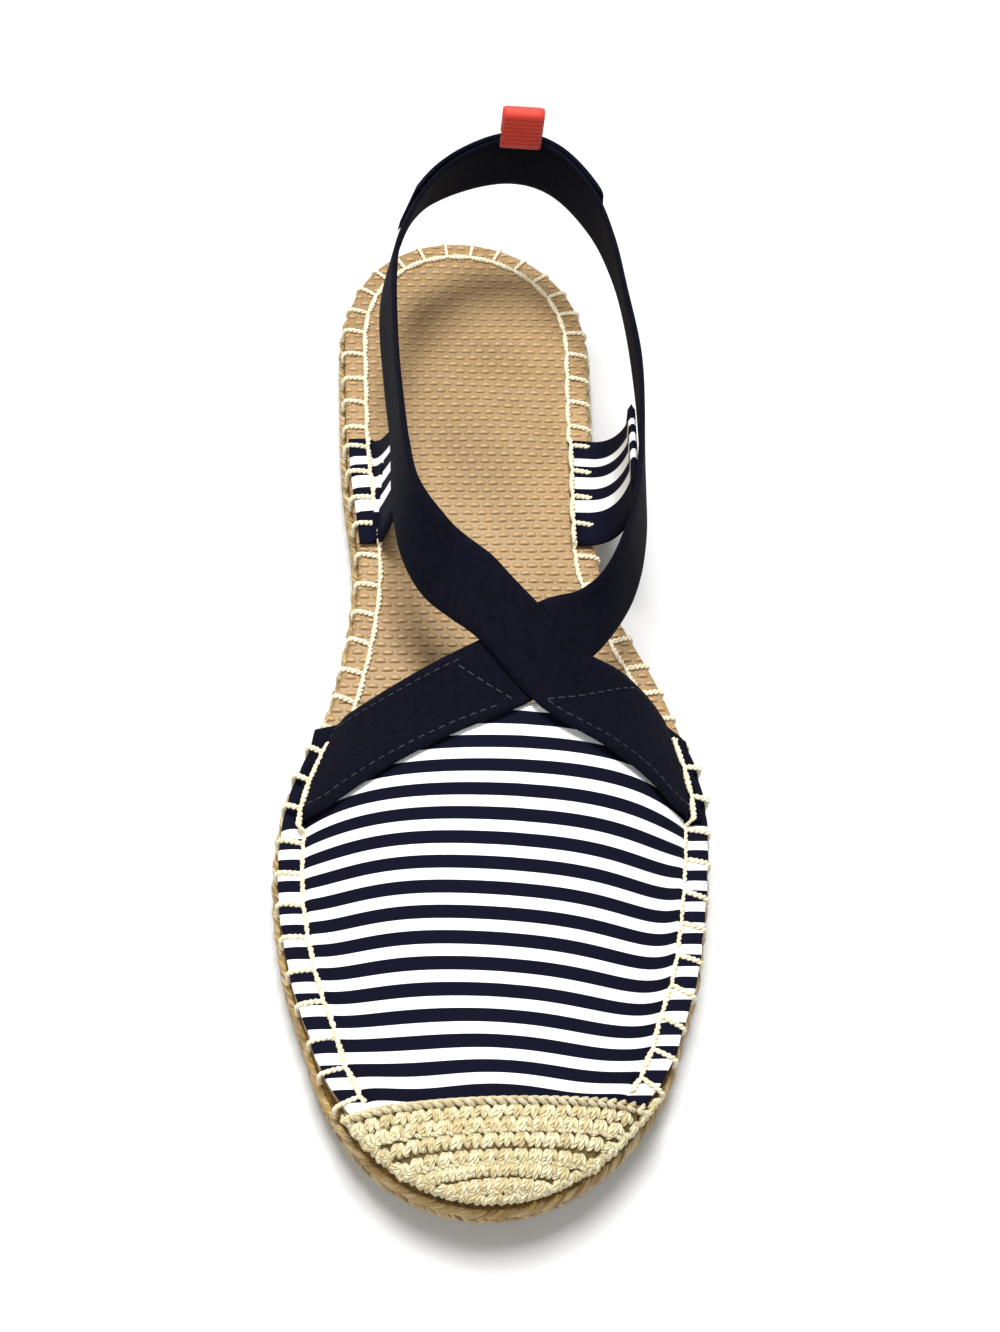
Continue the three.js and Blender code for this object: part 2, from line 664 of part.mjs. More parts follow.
addPiece("outsole", soleSlab(outsoleProfile), cloth(0xe8d9a8, 0.7));
addPiece("jute_midsole", soleSlab(juteProfile()), cloth(0xb08a4a, 0.95));
addPiece("footbed", soleSlab(footbedProfile, topEdge), cloth(0xc8975a, 0.8));
addPiece("upper", makeUpper(), cloth(0x1b1b2f, 0.85));
addPiece("toe_cap", makeToeCap(), cloth(0xe0cf95, 0.95));
addPiece("cross_straps", makeBand(), cloth(0x1c1d28, 0.8));
addPiece("heel_patch", makeHeelPatch(), cloth(0x1b1b2f, 0.85));
addPiece("side_tab_inner", makeSideTab(false), cloth(0x1b1b2f, 0.85));
addPiece("side_tab_outer", makeSideTab(true), cloth(0x1b1b2f, 0.85));
addPiece("pull_loop", makePullLoop(), cloth(0xdd4028, 0.7));

// The origin lies on the floor, under the middle of the shoe
const bounds = new THREE.Box3().setFromObject(shoe);
const middle = bounds.getCenter(vec(0, 0, 0));
shoe.position.set(-middle.x, -middle.y, 0);

export default shoe;
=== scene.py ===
import bisect
import math
import random

import bpy
from mathutils import Matrix, Vector


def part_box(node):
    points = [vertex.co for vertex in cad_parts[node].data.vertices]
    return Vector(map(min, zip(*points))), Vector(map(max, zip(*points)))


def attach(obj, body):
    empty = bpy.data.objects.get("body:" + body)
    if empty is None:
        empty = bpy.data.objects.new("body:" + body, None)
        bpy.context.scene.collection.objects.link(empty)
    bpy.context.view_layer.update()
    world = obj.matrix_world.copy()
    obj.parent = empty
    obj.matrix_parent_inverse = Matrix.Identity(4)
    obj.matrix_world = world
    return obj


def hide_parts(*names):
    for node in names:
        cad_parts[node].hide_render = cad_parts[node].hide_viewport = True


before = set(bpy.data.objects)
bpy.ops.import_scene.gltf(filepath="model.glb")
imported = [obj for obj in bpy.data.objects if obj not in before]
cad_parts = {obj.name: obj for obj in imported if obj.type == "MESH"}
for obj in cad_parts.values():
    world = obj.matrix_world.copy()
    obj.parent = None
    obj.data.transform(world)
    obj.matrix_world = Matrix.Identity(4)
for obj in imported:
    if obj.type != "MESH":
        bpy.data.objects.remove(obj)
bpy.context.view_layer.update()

# Rubber outsole
# A thin sheet of natural rubber, pressed with a fine zigzag tread and glued under the jute. It
# follows the foot's outline and lifts a little at the toe. This section also holds the outline
# of the whole sole, which every later piece follows. Sizes are millimetres.

mm = 0.001
sole_length = 255
ball_width = 94.8
toe_spring, spring_length = 5, 60
spring_start = -sole_length / 2 + spring_length
outline = {
    "along": [0.14, 0.28, 0.42, 0.55, 0.65, 0.74, 0.86],
    "outer": [0.332, 0.315, 0.315, 0.444, 0.506, 0.487, 0.418],
    "inner": [0.328, 0.325, 0.302, 0.367, 0.473, 0.492, 0.439],
}
heel_round, toe_round = 0.14, 0.2
rubber_top = 1.8
rubber_reach = 0.6


def smooth_value(table, key, column, place):
    """Smooth value of one column of a table at a place given by its key column."""
    keys, values = table[key], table[column]
    last = len(keys) - 1
    i = min(max(bisect.bisect_right(keys, place) - 1, 0), last - 1)

    def slope(k):
        a, b = max(k - 1, 0), min(k + 1, last)
        return (values[b] - values[a]) / (keys[b] - keys[a])

    span = keys[i + 1] - keys[i]
    t = (place - keys[i]) / span
    if t < 0:
        return values[0]
    if t > 1:
        return values[last] + slope(last) * (place - keys[last])
    return (
        (2 * t**3 - 3 * t**2 + 1) * values[i]
        + (t**3 - 2 * t**2 + t) * span * slope(i)
        + (3 * t**2 - 2 * t**3) * values[i + 1]
        + (t**3 - t**2) * span * slope(i + 1)
    )


def clamp(value, low, high):
    return min(max(value, low), high)


def mix(a, b, share):
    return a + (b - a) * share


def smooth_step(value, low, high):
    t = clamp((value - low) / (high - low), 0, 1)
    return t * t * (3 - 2 * t)


def spring_at(y):
    """Lift of the sole over the toe."""
    return toe_spring * max(0, (spring_start - y) / spring_length) ** 2


def outline_at(turn):
    """Point of the sole's outline: 0 is the heel, 1 the toe, and the outer side comes first."""
    turn %= 2
    y = sole_length / 2 * math.cos(math.pi * turn)
    along = 0.5 - y / sole_length
    share = smooth_value(outline, "along", "outer" if turn <= 1 else "inner",
                         clamp(along, heel_round, 1 - heel_round))
    heel = clamp((heel_round - along) / heel_round, 0, 1)
    toe = clamp((along - 1 + toe_round) / toe_round, 0, 1)
    rounding = math.sqrt(max(0, 1 - heel**2.2)) * math.sqrt(max(0, 1 - toe**2.04))
    shift = ball_width * (-0.007 * heel * heel - 0.036 * toe * toe)
    half = ball_width * share * rounding
    return Vector((shift + (half if turn <= 1 else -half), y, 0))


def outline_normal(turn):
    step = 0.004
    tangent = (outline_at(turn + step) - outline_at(turn - step)).normalized()
    return Vector((-tangent.y, tangent.x, 0))


def outline_point(turn, out):
    return outline_at(turn) + outline_normal(turn) * out


# The frame's origin lies under the middle of the whole shoe's box
outer_reach = max(outline_point(k / 400, rubber_reach).x for k in range(401))
to_frame = Vector((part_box("outsole")[1].x / mm - outer_reach, 0, 0))


def in_frame(point):
    return (Vector(point) + to_frame) * mm


def grid_piece(name, columns, rows, place):
    """A new grid whose points are put in place, across and along both running from 0 to 1."""
    bpy.ops.object.select_all(action="DESELECT")
    bpy.ops.mesh.primitive_grid_add(x_subdivisions=columns, y_subdivisions=rows, size=1, calc_uvs=True)
    piece = bpy.context.object
    piece.name = name
    for vertex in piece.data.vertices:
        vertex.co = in_frame(place(vertex.co.x + 0.5, vertex.co.y + 0.5))
    close_seams(piece)
    return piece


def close_seams(piece):
    bpy.ops.object.mode_set(mode="EDIT")
    bpy.ops.mesh.select_all(action="SELECT")
    bpy.ops.mesh.remove_doubles(threshold=2e-6)
    bpy.ops.mesh.dissolve_degenerate(threshold=1e-7)
    bpy.ops.object.mode_set(mode="OBJECT")
    bpy.ops.object.shade_smooth()


def slab_section(profile, steps):
    """Columns of a slab's section: up the inner side, over the top, down the outer side, back
    underneath. Each is (share across, out, height); the profile runs from the bottom up."""
    inwards = [k / steps * 2 - 1 for k in range(1, steps)]
    section = [(-1, out, z) for out, z in profile]
    section += [(share, *profile[-1]) for share in inwards]
    section += [(1, out, z) for out, z in reversed(profile)]
    section += [(-share, *profile[0]) for share in inwards]
    return section + section[:1]


def slab(name, profile, steps, rows, edge=outline_point):
    section = slab_section(profile, steps)

    def place(across, along):
        share, out, z = section[round(across * (len(section) - 1))]
        turn = 1 - along
        point = mix(edge(2 - turn, out), edge(turn, out), (share + 1) / 2)
        point.z = z + spring_at(point.y)
        return point

    return grid_piece(name, len(section) - 1, rows, place)


def colour(code):
    """An sRGB hex value as linear red, green, blue and alpha."""
    parts = [int(code[k:k + 2], 16) / 255 for k in (1, 3, 5)]
    return [p / 12.92 if p <= 0.04045 else ((p + 0.055) / 1.055) ** 2.4 for p in parts] + [1]


def new_material(name):
    material = bpy.data.materials.new(name)
    material.use_nodes = True
    return material, material.node_tree.nodes["Principled BSDF"]


def node(material, kind, links=(), **settings):
    """Adds a node. Links are (input, socket) pairs; a setting that names an input sets its value,
    and any other one sets the node's property."""
    tree = material.node_tree
    added = tree.nodes.new("ShaderNode" + kind)
    for name, value in settings.items():
        if hasattr(added, name):
            setattr(added, name, value)
    for name, value in settings.items():
        if not hasattr(added, name):
            added.inputs[name.replace("_", " ")].default_value = value
    for target, source in links:
        tree.links.new(source, added.inputs[target])
    return added


def link(material, source, shader, name):
    material.node_tree.links.new(source, shader.inputs[name])


def ramp(material, source, stops):
    """Colours by a value from 0 to 1; the stops are (place, hex)."""
    added = node(material, "ValToRGB", [(0, source)])
    elements = added.color_ramp.elements
    while len(elements) < len(stops):
        elements.new(0.5)
    for element, (place, code) in zip(elements, stops):
        element.position = place
        element.color = colour(code)
    return added


def bumped(material, shader, height, distance, strength=1.0):
    relief = node(material, "Bump", [("Height", height)], Strength=strength, Distance=distance)
    link(material, relief.outputs["Normal"], shader, "Normal")


def dress(piece, material, replaced):
    piece.data.materials.clear()
    piece.data.materials.append(material)
    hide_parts(replaced)
    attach(piece, "root")


# Natural crepe rubber, moulded: matt, cream, a little mottled, with a zigzag tread underneath
rubber, shader = new_material("natural crepe rubber, moulded")
place = node(rubber, "TexCoord").outputs["Object"]
mottle = node(rubber, "TexNoise", [("Vector", place)], Scale=220, Detail=4)
tint = ramp(rubber, mottle.outputs["Fac"], [(0.3, "#D9C58C"), (0.7, "#E9DAA9")])
link(rubber, tint.outputs["Color"], shader, "Base Color")
shader.inputs["Roughness"].default_value = 0.72
tread_pitch = 4
axes = node(rubber, "SeparateXYZ", [("Vector", place)])
zig = node(rubber, "Math", [(0, axes.outputs["X"])], operation="PINGPONG")
zig.inputs[1].default_value = 5 * mm
lean = node(rubber, "Math", [(0, axes.outputs["Y"]), (1, zig.outputs[0])], operation="ADD")
tread = node(rubber, "Math", [(0, lean.outputs[0])], operation="PINGPONG")
tread.inputs[1].default_value = tread_pitch / 2 * mm
bumped(rubber, shader, tread.outputs[0], 0.6, 0.8)

outsole = slab("rubber_sheet", [(0.2, 0), (0.5, 0.15), (rubber_reach, 0.45), (rubber_reach, rubber_top)],
               12, 220)
dress(outsole, rubber, "outsole")


# Jute midsole
# A flat plait of jute wound round the foot and pressed, so its side shows two rows of strands that
# meet like a herringbone: loose bundles above, finer strands below. The core is one slab, and each
# strand is a bent spindle laid on it.

jute_bottom, jute_top = 2.1, 10.3
jute_middle = mix(jute_bottom, jute_top, 0.47)
row_reach = 1.35
core_reach = 0.55


def plait_out(z):
    """How far the middle of the strands stands out at a height: two rounded rows."""
    low, high = (jute_bottom, jute_middle) if z < jute_middle else (jute_middle, jute_top)
    t = clamp((z - low) / (high - low), 0, 1)
    return row_reach * (0.3 + 0.7 * math.sin(math.pi * t) ** 0.8)


core = [(core_reach * (0.2 + 0.8 * math.sin(math.pi * clamp(k / 8, 0.12, 0.88))),
         mix(jute_bottom, jute_top, k / 8)) for k in range(9)]
jute_core = slab("jute_core", core, 12, 220)


def outline_lengths(count=2400):
    """Running length of the outline, from the heel round the outer side, the toe and back."""
    lengths, total = [0], 0
    for k in range(count):
        total += (outline_point(2 * (k + 1) / count, row_reach) - outline_point(2 * k / count, row_reach)).length
        lengths.append(total)
    return lengths


running = outline_lengths()
girth = running[-1]


def turn_of(length):
    """The outline's turn at a running length."""
    length %= girth
    k = bisect.bisect_right(running, length) - 1
    k = min(k, len(running) - 2)
    part = (length - running[k]) / (running[k + 1] - running[k])
    return 2 * (k + part) / (len(running) - 1)


def spindle(sides, rings):
    """Points and faces of one thin spindle with pointed ends, lying along X, and 1 long and wide.
    It is cut from a sphere, so its map runs round it and along it."""
    bpy.ops.object.select_all(action="DESELECT")
    bpy.ops.mesh.primitive_uv_sphere_add(segments=sides, ring_count=rings, radius=0.5, calc_uvs=True)
    model = bpy.context.object
    points = [Vector((v.co.z, v.co.x, v.co.y)) for v in model.data.vertices]
    faces = [tuple(p.vertices) for p in model.data.polygons]
    maps = [tuple(uv.uv) for uv in model.data.uv_layers[0].data]
    bpy.data.objects.remove(model)
    return points, faces, maps


def copies_piece(name, model, placings):
    """One piece made of many copies of a small model. A placing turns a point of the model into a
    point of the shoe, and comes with the copy's own tone from 0 to 1."""
    points, faces, maps = model
    all_points, all_faces, all_maps, tones = [], [], [], []
    for put, tone in placings:
        start = len(all_points)
        all_points += [in_frame(put(p)) for p in points]
        all_faces += [tuple(start + k for k in face) for face in faces]
        all_maps += maps
        tones += [tone] * len(maps)
    mesh = bpy.data.meshes.new(name)
    mesh.from_pydata(all_points, [], all_faces)
    layer = mesh.uv_layers.new(name="UVMap")
    layer.data.foreach_set("uv", [value for uv in all_maps for value in uv])
    tint = mesh.color_attributes.new("tone", "FLOAT_COLOR", "CORNER")
    tint.data.foreach_set("color", [value for tone in tones for value in (tone, tone, tone, 1)])
    piece = bpy.data.objects.new(name, mesh)
    bpy.context.scene.collection.objects.link(piece)
    mesh.shade_smooth()
    mesh.validate()
    return piece


chance = random.Random(7)
strand_model = spindle(6, 10)


def strand(length_along, height, size, lean, sway):
    """A strand lying on the plait: size is (length, width, thickness), lean its angle."""
    turn = turn_of(length_along)
    foot = outline_at(turn)
    normal = outline_normal(turn)
    tangent = Vector((normal.y, -normal.x, 0))

    def put(p):
        a = p.x * size[0]
        b = p.y * size[1] + sway * math.sin(math.pi * (p.x + 0.5))
        along = a * math.cos(lean) - b * math.sin(lean)
        up = a * math.sin(lean) + b * math.cos(lean)
        z = clamp(height + up, jute_bottom, jute_top + 0.25)
        out = plait_out(z) - 0.45 + p.z * size[2]
        point = foot + tangent * along + normal * out
        point.z = z + spring_at(foot.y)
        return point

    return put


upper_row = mix(jute_middle, jute_top, 0.5)
lower_row = mix(jute_bottom, jute_middle, 0.5)
bundle_pitch, bundle_strands = 5.6, 6
fine_pitch = 1.05
strands = []
bundles = round(girth / bundle_pitch)
for k in range(bundles):
    for s in range(bundle_strands):
        at = girth * (k + s / bundle_strands) / bundles + chance.uniform(-0.25, 0.25)
        lift = 0.5 * math.sin(2 * math.pi * s / bundle_strands)
        size = (6.3 + chance.uniform(-0.6, 0.8), 1.0, 1.35 + 0.4 * math.sin(2 * math.pi * s / bundle_strands))
        lean = -math.radians(38 + chance.uniform(-5, 5))
        strands.append((strand(at, upper_row + 0.3 * lift, size, lean, 0.35), chance.random()))
fines = round(girth / fine_pitch)
for k in range(fines):
    at = girth * k / fines + chance.uniform(-0.2, 0.2)
    size = (4.9 + chance.uniform(-0.4, 0.6), 0.95, 1.1)
    lean = math.radians(50 + chance.uniform(-8, 8))
    strands.append((strand(at, lower_row, size, lean, -0.2), chance.random()))
jute_strands = copies_piece("jute_strands", strand_model, strands)

# Jute, retted and plaited: golden bast fibre, silky along the fibre, each strand a little different in tone; the dark
# where strands meet is the core's painted shade
jute, shader = new_material("jute bast fibre, plaited")
maps = node(jute, "TexCoord")
tone = node(jute, "VertexColor", layer_name="tone")
stretch = node(jute, "Mapping", [("Vector", maps.outputs["UV"])])
stretch.inputs["Scale"].default_value = (9, 1.6, 1)
shift = node(jute, "VectorMath", [(0, stretch.outputs[0]), (1, tone.outputs["Color"])], operation="MULTIPLY_ADD")
shift.inputs[1].default_value = (1, 1, 1)
jute.node_tree.links.new(tone.outputs["Color"], shift.inputs[2])
fibre = node(jute, "TexNoise", [("Vector", shift.outputs[0])], Scale=3.2, Detail=5, Roughness=0.6)
blend = node(jute, "Math", [(0, fibre.outputs["Fac"]), (1, tone.outputs["Color"])], operation="ADD")
halved = node(jute, "Math", [(0, blend.outputs[0])], operation="MULTIPLY")
halved.inputs[1].default_value = 0.5
tint = ramp(jute, halved.outputs[0], [(0.18, "#6E5224"), (0.42, "#A98643"), (0.62, "#CDAA62"), (0.85, "#F3E2B0")])
link(jute, tint.outputs["Color"], shader, "Base Color")
shader.inputs["Roughness"].default_value = 0.42
shader.inputs["Sheen Weight"].default_value = 0.25
bumped(jute, shader, fibre.outputs["Fac"], 0.0006, 0.9)
dress(jute_strands, jute, "jute_midsole")

# The same jute in the plait's shade, pressed flat: the core under the strands is painted dark as the shade between
# them
jute_shade, shader = new_material("jute fibre, core in painted shade")
place = node(jute_shade, "TexCoord").outputs["Object"]
grain = node(jute_shade, "TexNoise", [("Vector", place)], Scale=900, Detail=3)
# These dark browns are painted shade between the strands
tint = ramp(jute_shade, grain.outputs["Fac"], [(0.3, "#4E3512"), (0.7, "#86642C")])
link(jute_shade, tint.outputs["Color"], shader, "Base Color")
shader.inputs["Roughness"].default_value = 0.9
bumped(jute_shade, shader, grain.outputs["Fac"], 0.0004, 0.8)
dress(jute_core, jute_shade, "jute_midsole")


# Footbed
# A tan board covered in smooth coated cloth, its edge rounded over. Its top is embossed with short
# dashes laid like bricks across the foot, which the foot and the sewing have softened.

footbed_bottom, footbed_top = 10.6, 14.5
edge_rounding = 0.8
toe_tuck = 2
cap_line = -0.427 * sole_length
tuck_start, tuck_end = -0.364 * sole_length, -0.458 * sole_length


def top_edge(turn, out):
    """The outline at the sole's top, where it draws in under the toe cap."""
    tuck = smooth_step(-outline_at(turn).y, -tuck_start, -tuck_end)
    return outline_point(turn, out - toe_tuck * tuck)


rounded = [(-edge_rounding * (1 - math.sin(math.radians(a))), footbed_bottom + edge_rounding * (1 - math.cos(math.radians(a))))
           for a in (0, 30, 60, 90)]
rounded += [(-edge_rounding * (1 - math.cos(math.radians(a))), footbed_top - edge_rounding * (1 - math.sin(math.radians(a))))
            for a in (0, 30, 60, 90)]
footbed = slab("footbed_board", rounded, 40, 240, top_edge)

# Coated tan cloth, embossed by a roller: satin, warm, in random paler patches. Each dash has a painted
# highlight along its upper rim and painted shade along its lower side. Each dash is a low arched bump
# 3 mm long; they stand 3.4 mm apart, in rows 2.2 mm apart, staggered like bricks.
dash_length, dash_width = 2.8, 1.6
dash_pitch, dash_row = 3.4, 2.2


def math_node(material, operation, *values):
    """A Math node. Each value is a socket or a number."""
    added = node(material, "Math", operation=operation)
    for slot, value in enumerate(values):
        if isinstance(value, (int, float)):
            added.inputs[slot].default_value = value
        else:
            material.node_tree.links.new(value, added.inputs[slot])
    return added.outputs[0]


tan, shader = new_material("coated tan cloth, embossed")
place = node(tan, "TexCoord").outputs["Object"]
wobble = node(tan, "TexNoise", [("Vector", place)], Scale=60, Detail=2)
nudge = node(tan, "VectorMath", [(0, wobble.outputs["Color"])], operation="SCALE", Scale=0.0016)
moved = node(tan, "VectorMath", [(0, place), (1, nudge.outputs[0])], operation="ADD")
parts = node(tan, "SeparateXYZ", [("Vector", moved.outputs[0])])
rows = math_node(tan, "DIVIDE", parts.outputs["Y"], dash_row * mm)
row_number = math_node(tan, "FLOOR", rows)
stagger = math_node(tan, "MULTIPLY", row_number, 0.5)
columns = math_node(tan, "ADD", math_node(tan, "DIVIDE", parts.outputs["X"], dash_pitch * mm), stagger)
beside = math_node(tan, "SUBTRACT", math_node(tan, "FRACT", columns), 0.5)
beside = math_node(tan, "MULTIPLY", beside, 2 * dash_pitch / dash_length)
beside_squared = math_node(tan, "MULTIPLY", beside, beside)
above = math_node(tan, "SUBTRACT", math_node(tan, "FRACT", rows), 0.62)
above = math_node(tan, "MULTIPLY", above, 2 * dash_row / dash_width)
arched = math_node(tan, "MULTIPLY_ADD", beside_squared, 0.45, above)
distance = math_node(tan, "MULTIPLY_ADD", arched, arched, beside_squared)
dash = math_node(tan, "MAXIMUM", math_node(tan, "SUBTRACT", 1.0, distance), 0.0)
dash = math_node(tan, "POWER", dash, 0.7)
# Painted shade along each dash's lower side (below) and a painted highlight along its upper rim (crown)
below = math_node(tan, "MULTIPLY", dash, math_node(tan, "MAXIMUM", math_node(tan, "MULTIPLY", arched, -1.0), 0.0))
crown = math_node(tan, "MULTIPLY", dash, math_node(tan, "MAXIMUM", math_node(tan, "ADD", arched, 0.35), 0.0))
skin = node(tan, "TexNoise", [("Vector", place)], Scale=1500, Detail=4)
patches = node(tan, "TexNoise", [("Vector", place)], Scale=45, Detail=3)
# The colour mixes the cloth's random paler patches with the painted highlight and the painted shade
patch_tone_and_painted_light = math_node(tan, "MULTIPLY_ADD", crown, 0.62, math_node(tan, "MULTIPLY", patches.outputs["Fac"], 0.5))
patch_tone_and_painted_light = math_node(tan, "MULTIPLY_ADD", below, -0.6, patch_tone_and_painted_light)
tint = ramp(tan, patch_tone_and_painted_light, [(0.02, "#7A5C37"), (0.24, "#95774C"), (0.5, "#B8976A")])
link(tan, tint.outputs["Color"], shader, "Base Color")
shader.inputs["Roughness"].default_value = 0.5
relief = math_node(tan, "MULTIPLY_ADD", skin.outputs["Fac"], 0.1, dash)
bumped(tan, shader, relief, 0.0006, 0.9)
dress(footbed, tan, "footbed")


# Striped upper
# A low vamp of navy and white striped cloth, lasted over the foot's form and turned over the sole's
# edge as a flat border. It is sewn down all round, so the border swells a little between stitches.

border_bottom, border_top = 14.8, 16.0
border_width, toe_border_width = 5, 1.2
narrow_start, narrow_end = -0.411 * sole_length, -0.466 * sole_length
upper_rear = -0.094 * sole_length
toe_fan = -0.404 * sole_length
instep_rise = 21.3
cloth_wall = 1.2
stitch_pitch = 7.7
crest = {
    "along": [-0.404, -0.353, -0.302, -0.251, -0.196, -0.149, -0.098, -0.047, 0, 0.04],
    "rise": [0.39, 0.512, 0.643, 0.746, 0.84, 0.911, 0.99, 1.32, 1.67, 1.9],
    "side": [-0.03, -0.018, -0.004, 0.012, 0.03, 0.047, 0.065, 0.082, 0.093, 0.097],
}


def turn_at(y, outer_side):
    turn = math.acos(clamp(2 * y / sole_length, -1, 1)) / math.pi
    return turn if outer_side else 2 - turn


def border_at(y):
    return mix(border_width, toe_border_width, smooth_step(-y, -narrow_start, -narrow_end))


def crest_side(y):
    return ball_width * smooth_value(crest, "along", "side", y / sole_length)


def crest_rise(y):
    return instep_rise * smooth_value(crest, "along", "rise", y / sole_length)


def arch(share):
    return max(0, 1 - abs(share) ** 2.1) ** 0.8


def last_top(x, y):
    """Height of the last's top over the vamp and the instep."""
    middle = crest_side(y)
    foot = top_edge(turn_at(y, x > middle), -border_at(y)).x
    share = clamp((x - middle) / (foot - middle), 0, 1)
    return border_top + spring_at(y) + crest_rise(y) * arch(share)


def length_at(turn):
    """Running length of the outline at a turn."""
    return running[min(round(turn % 2 / 2 * (len(running) - 1)), len(running) - 1)]


def swelling(turn):
    """1 midway between two edge stitches, 0 at a stitch."""
    return abs(math.sin(math.pi * length_at(turn) / stitch_pitch))


def arch_rows(rear, out, border, side_steps, fan_steps, arch_steps, share_power=1):
    """Rows of points across the form, from the inner edge over the crest to the outer edge, and
    from the toe back to the rear. Past the toe's fan all rows meet in one point of the crest."""
    tip = -sole_length / 2
    stations = [mix(tip, toe_fan, 1 - math.cos(math.pi / 2 * (1 - k / fan_steps))) for k in range(fan_steps)]
    stations = [toe_fan + (tip - toe_fan) * math.sin(math.pi / 2 * (1 - k / fan_steps)) for k in range(fan_steps)]
    stations += [mix(toe_fan, rear, k / side_steps) for k in range(side_steps + 1)]
    rows = []
    for y in stations:
        top = max(y, toe_fan)
        row = []
        for outer_side in (False, True):
            turn = turn_at(y, outer_side)
            foot = top_edge(turn, out - border(y))
            middle = Vector((crest_side(top), foot.y if y > toe_fan else toe_fan, 0))
            half = []
            for k in range(arch_steps + 1):
                share = math.cos(math.pi / 2 * k / arch_steps)
                point = mix(middle, foot, share)
                point.z = border_top + spring_at(point.y) + crest_rise(top) * arch(share)
                half.append(point)
            row += half if not outer_side else half[-2::-1]
        rows.append((y, row))
    return rows


vamp_rows = arch_rows(upper_rear, 0, border_at, 56, 22, 22)
turned = [(-0.05, -1.15), (0, -0.8), (-0.08, -0.35), (-0.3, -0.1), (-0.7, 0)]
border_shares = [0.3, 0.5, 0.7, 0.9]


def border_points(y, outer_side):
    """The border's section, from its turned edge up and across to the vamp's foot."""
    turn = turn_at(y, outer_side)
    puff = swelling(turn)
    points = []
    for out, down in turned:
        point = top_edge(turn, out + 0.25 * puff)
        point.z = border_top + spring_at(point.y) + down + 0.1 * puff
        points.append(point)
    width = border_at(y)
    for share in border_shares:
        point = top_edge(turn, -0.7 - (width - 0.7) * share)
        point.z = border_top + spring_at(point.y) + (0.1 + 0.3 * math.sin(math.pi * share)) * puff
        points.append(point)
    return points


whole_rows = []
for y, row in vamp_rows:
    whole_rows.append(border_points(y, False) + row + border_points(y, True)[::-1])
vamp_columns = len(whole_rows[0]) - 1


def vamp_place(across, along):
    return whole_rows[round(along * (len(whole_rows) - 1))][round(across * vamp_columns)]


def thicken(piece, wall, offset=-1.0, **settings):
    """Gives a sheet its thickness, inwards from its face."""
    bpy.context.view_layer.objects.active = piece
    modifier = piece.modifiers.new("wall", "SOLIDIFY")
    modifier.thickness = wall * mm
    modifier.offset = offset
    modifier.use_even_offset = True
    modifier.thickness_clamp = 1
    for name, value in settings.items():
        setattr(modifier, name, value)
    bpy.ops.object.modifier_apply(modifier=modifier.name)


vamp = grid_piece("striped_vamp", vamp_columns, len(whole_rows) - 1, vamp_place)

# Cotton and elastane satin, printed in navy and white: matt, closely woven. The stripes are about
# 2.7 mm each, run across the foot, and swing a little where the cloth is pulled over the last.
stripe_first = -101.4
stripe_step, stripe_growth = 5.13, 0.0121
white_share = 0.47
navy_stripe, white_stripe = "#0C0D1D", "#F8FAFA"


def cloth_weave(material, shader, place, scale=1.0):
    """A fine weave: two crossed sets of threads, drawn at 0.5 mm so that they show."""
    heights = []
    for turned_by in (0, math.pi / 2):
        turn = node(material, "Mapping", [("Vector", place)])
        turn.inputs["Rotation"].default_value = (0, 0, turned_by + math.pi / 4)
        heights.append(node(material, "TexWave", [("Vector", turn.outputs[0])], Scale=620 * scale, Distortion=0.6))
    crossed = node(material, "Math", [(0, heights[0].outputs["Fac"]), (1, heights[1].outputs["Fac"])],
                   operation="MULTIPLY")
    bumped(material, shader, crossed.outputs[0], 0.00012, 0.5)


def clothed(name):
    material, shader = new_material(name)
    shader.inputs["Roughness"].default_value = 0.9
    shader.inputs["Specular IOR Level"].default_value = 0.08
    return material, shader


striped, shader = clothed("cotton satin, navy and white stripes")
maps = node(striped, "TexCoord")
phase = node(striped, "Attribute", attribute_name="stripe")
cycle = node(striped, "Math", [(0, phase.outputs["Fac"])], operation="FRACT")
white = node(striped, "MapRange", [("Value", cycle.outputs[0])], interpolation_type="SMOOTHSTEP",
             From_Min=white_share - 0.012, From_Max=white_share + 0.012, To_Min=1, To_Max=0)
start = node(striped, "MapRange", [("Value", cycle.outputs[0])], interpolation_type="SMOOTHSTEP",
             From_Min=0.0, From_Max=0.02, To_Min=0, To_Max=1)
both = node(striped, "Math", [(0, white.outputs[0]), (1, start.outputs[0])], operation="MULTIPLY")
foot_cover = node(striped, "Attribute", attribute_name="foot_cover")
open_cloth = node(striped, "MapRange", [("Value", foot_cover.outputs["Fac"])], From_Min=0.4, From_Max=0.6,
                  To_Min=1, To_Max=0)
both = node(striped, "Math", [(0, both.outputs[0]), (1, open_cloth.outputs[0])], operation="MULTIPLY")
tint = ramp(striped, both.outputs[0], [(0.0, navy_stripe), (1.0, white_stripe)])
link(striped, tint.outputs["Color"], shader, "Base Color")
cloth_weave(striped, shader, maps.outputs["Object"])


sway_powers = (0, 1, 2, 3, 4, 5, 8)
sway_shares = [
    [0.14, -3.5, 0.58, -1.31, -5.03, 3.29, 6.34],
    [-0.52, -0.12, 4.66, 0.3, -6.15, -0.95, -0.8],
    [0.3, 2.44, -3.23, 1.14, 13.69, -4.21, -14.82],
]


def stripe_sway(side, y):
    """How far a stripe lies off its place on the crest. It changes slowly along the foot."""
    along = clamp((y + 70) / 40, -1.1, 0.8)
    return sum(share * along**k * side**power for k, shares in enumerate(sway_shares)
               for power, share in zip(sway_powers, shares))


def stripe_phase(x, y):
    """Counts the stripes from the first white one at the toe. They sway across the foot."""
    middle = crest_side(y)
    foot = top_edge(turn_at(y, x > middle), -border_at(y)).x
    side = clamp((x - middle) / abs(foot - middle), -0.97, 0.97)
    return stripe_count(y - stripe_sway(side, y))


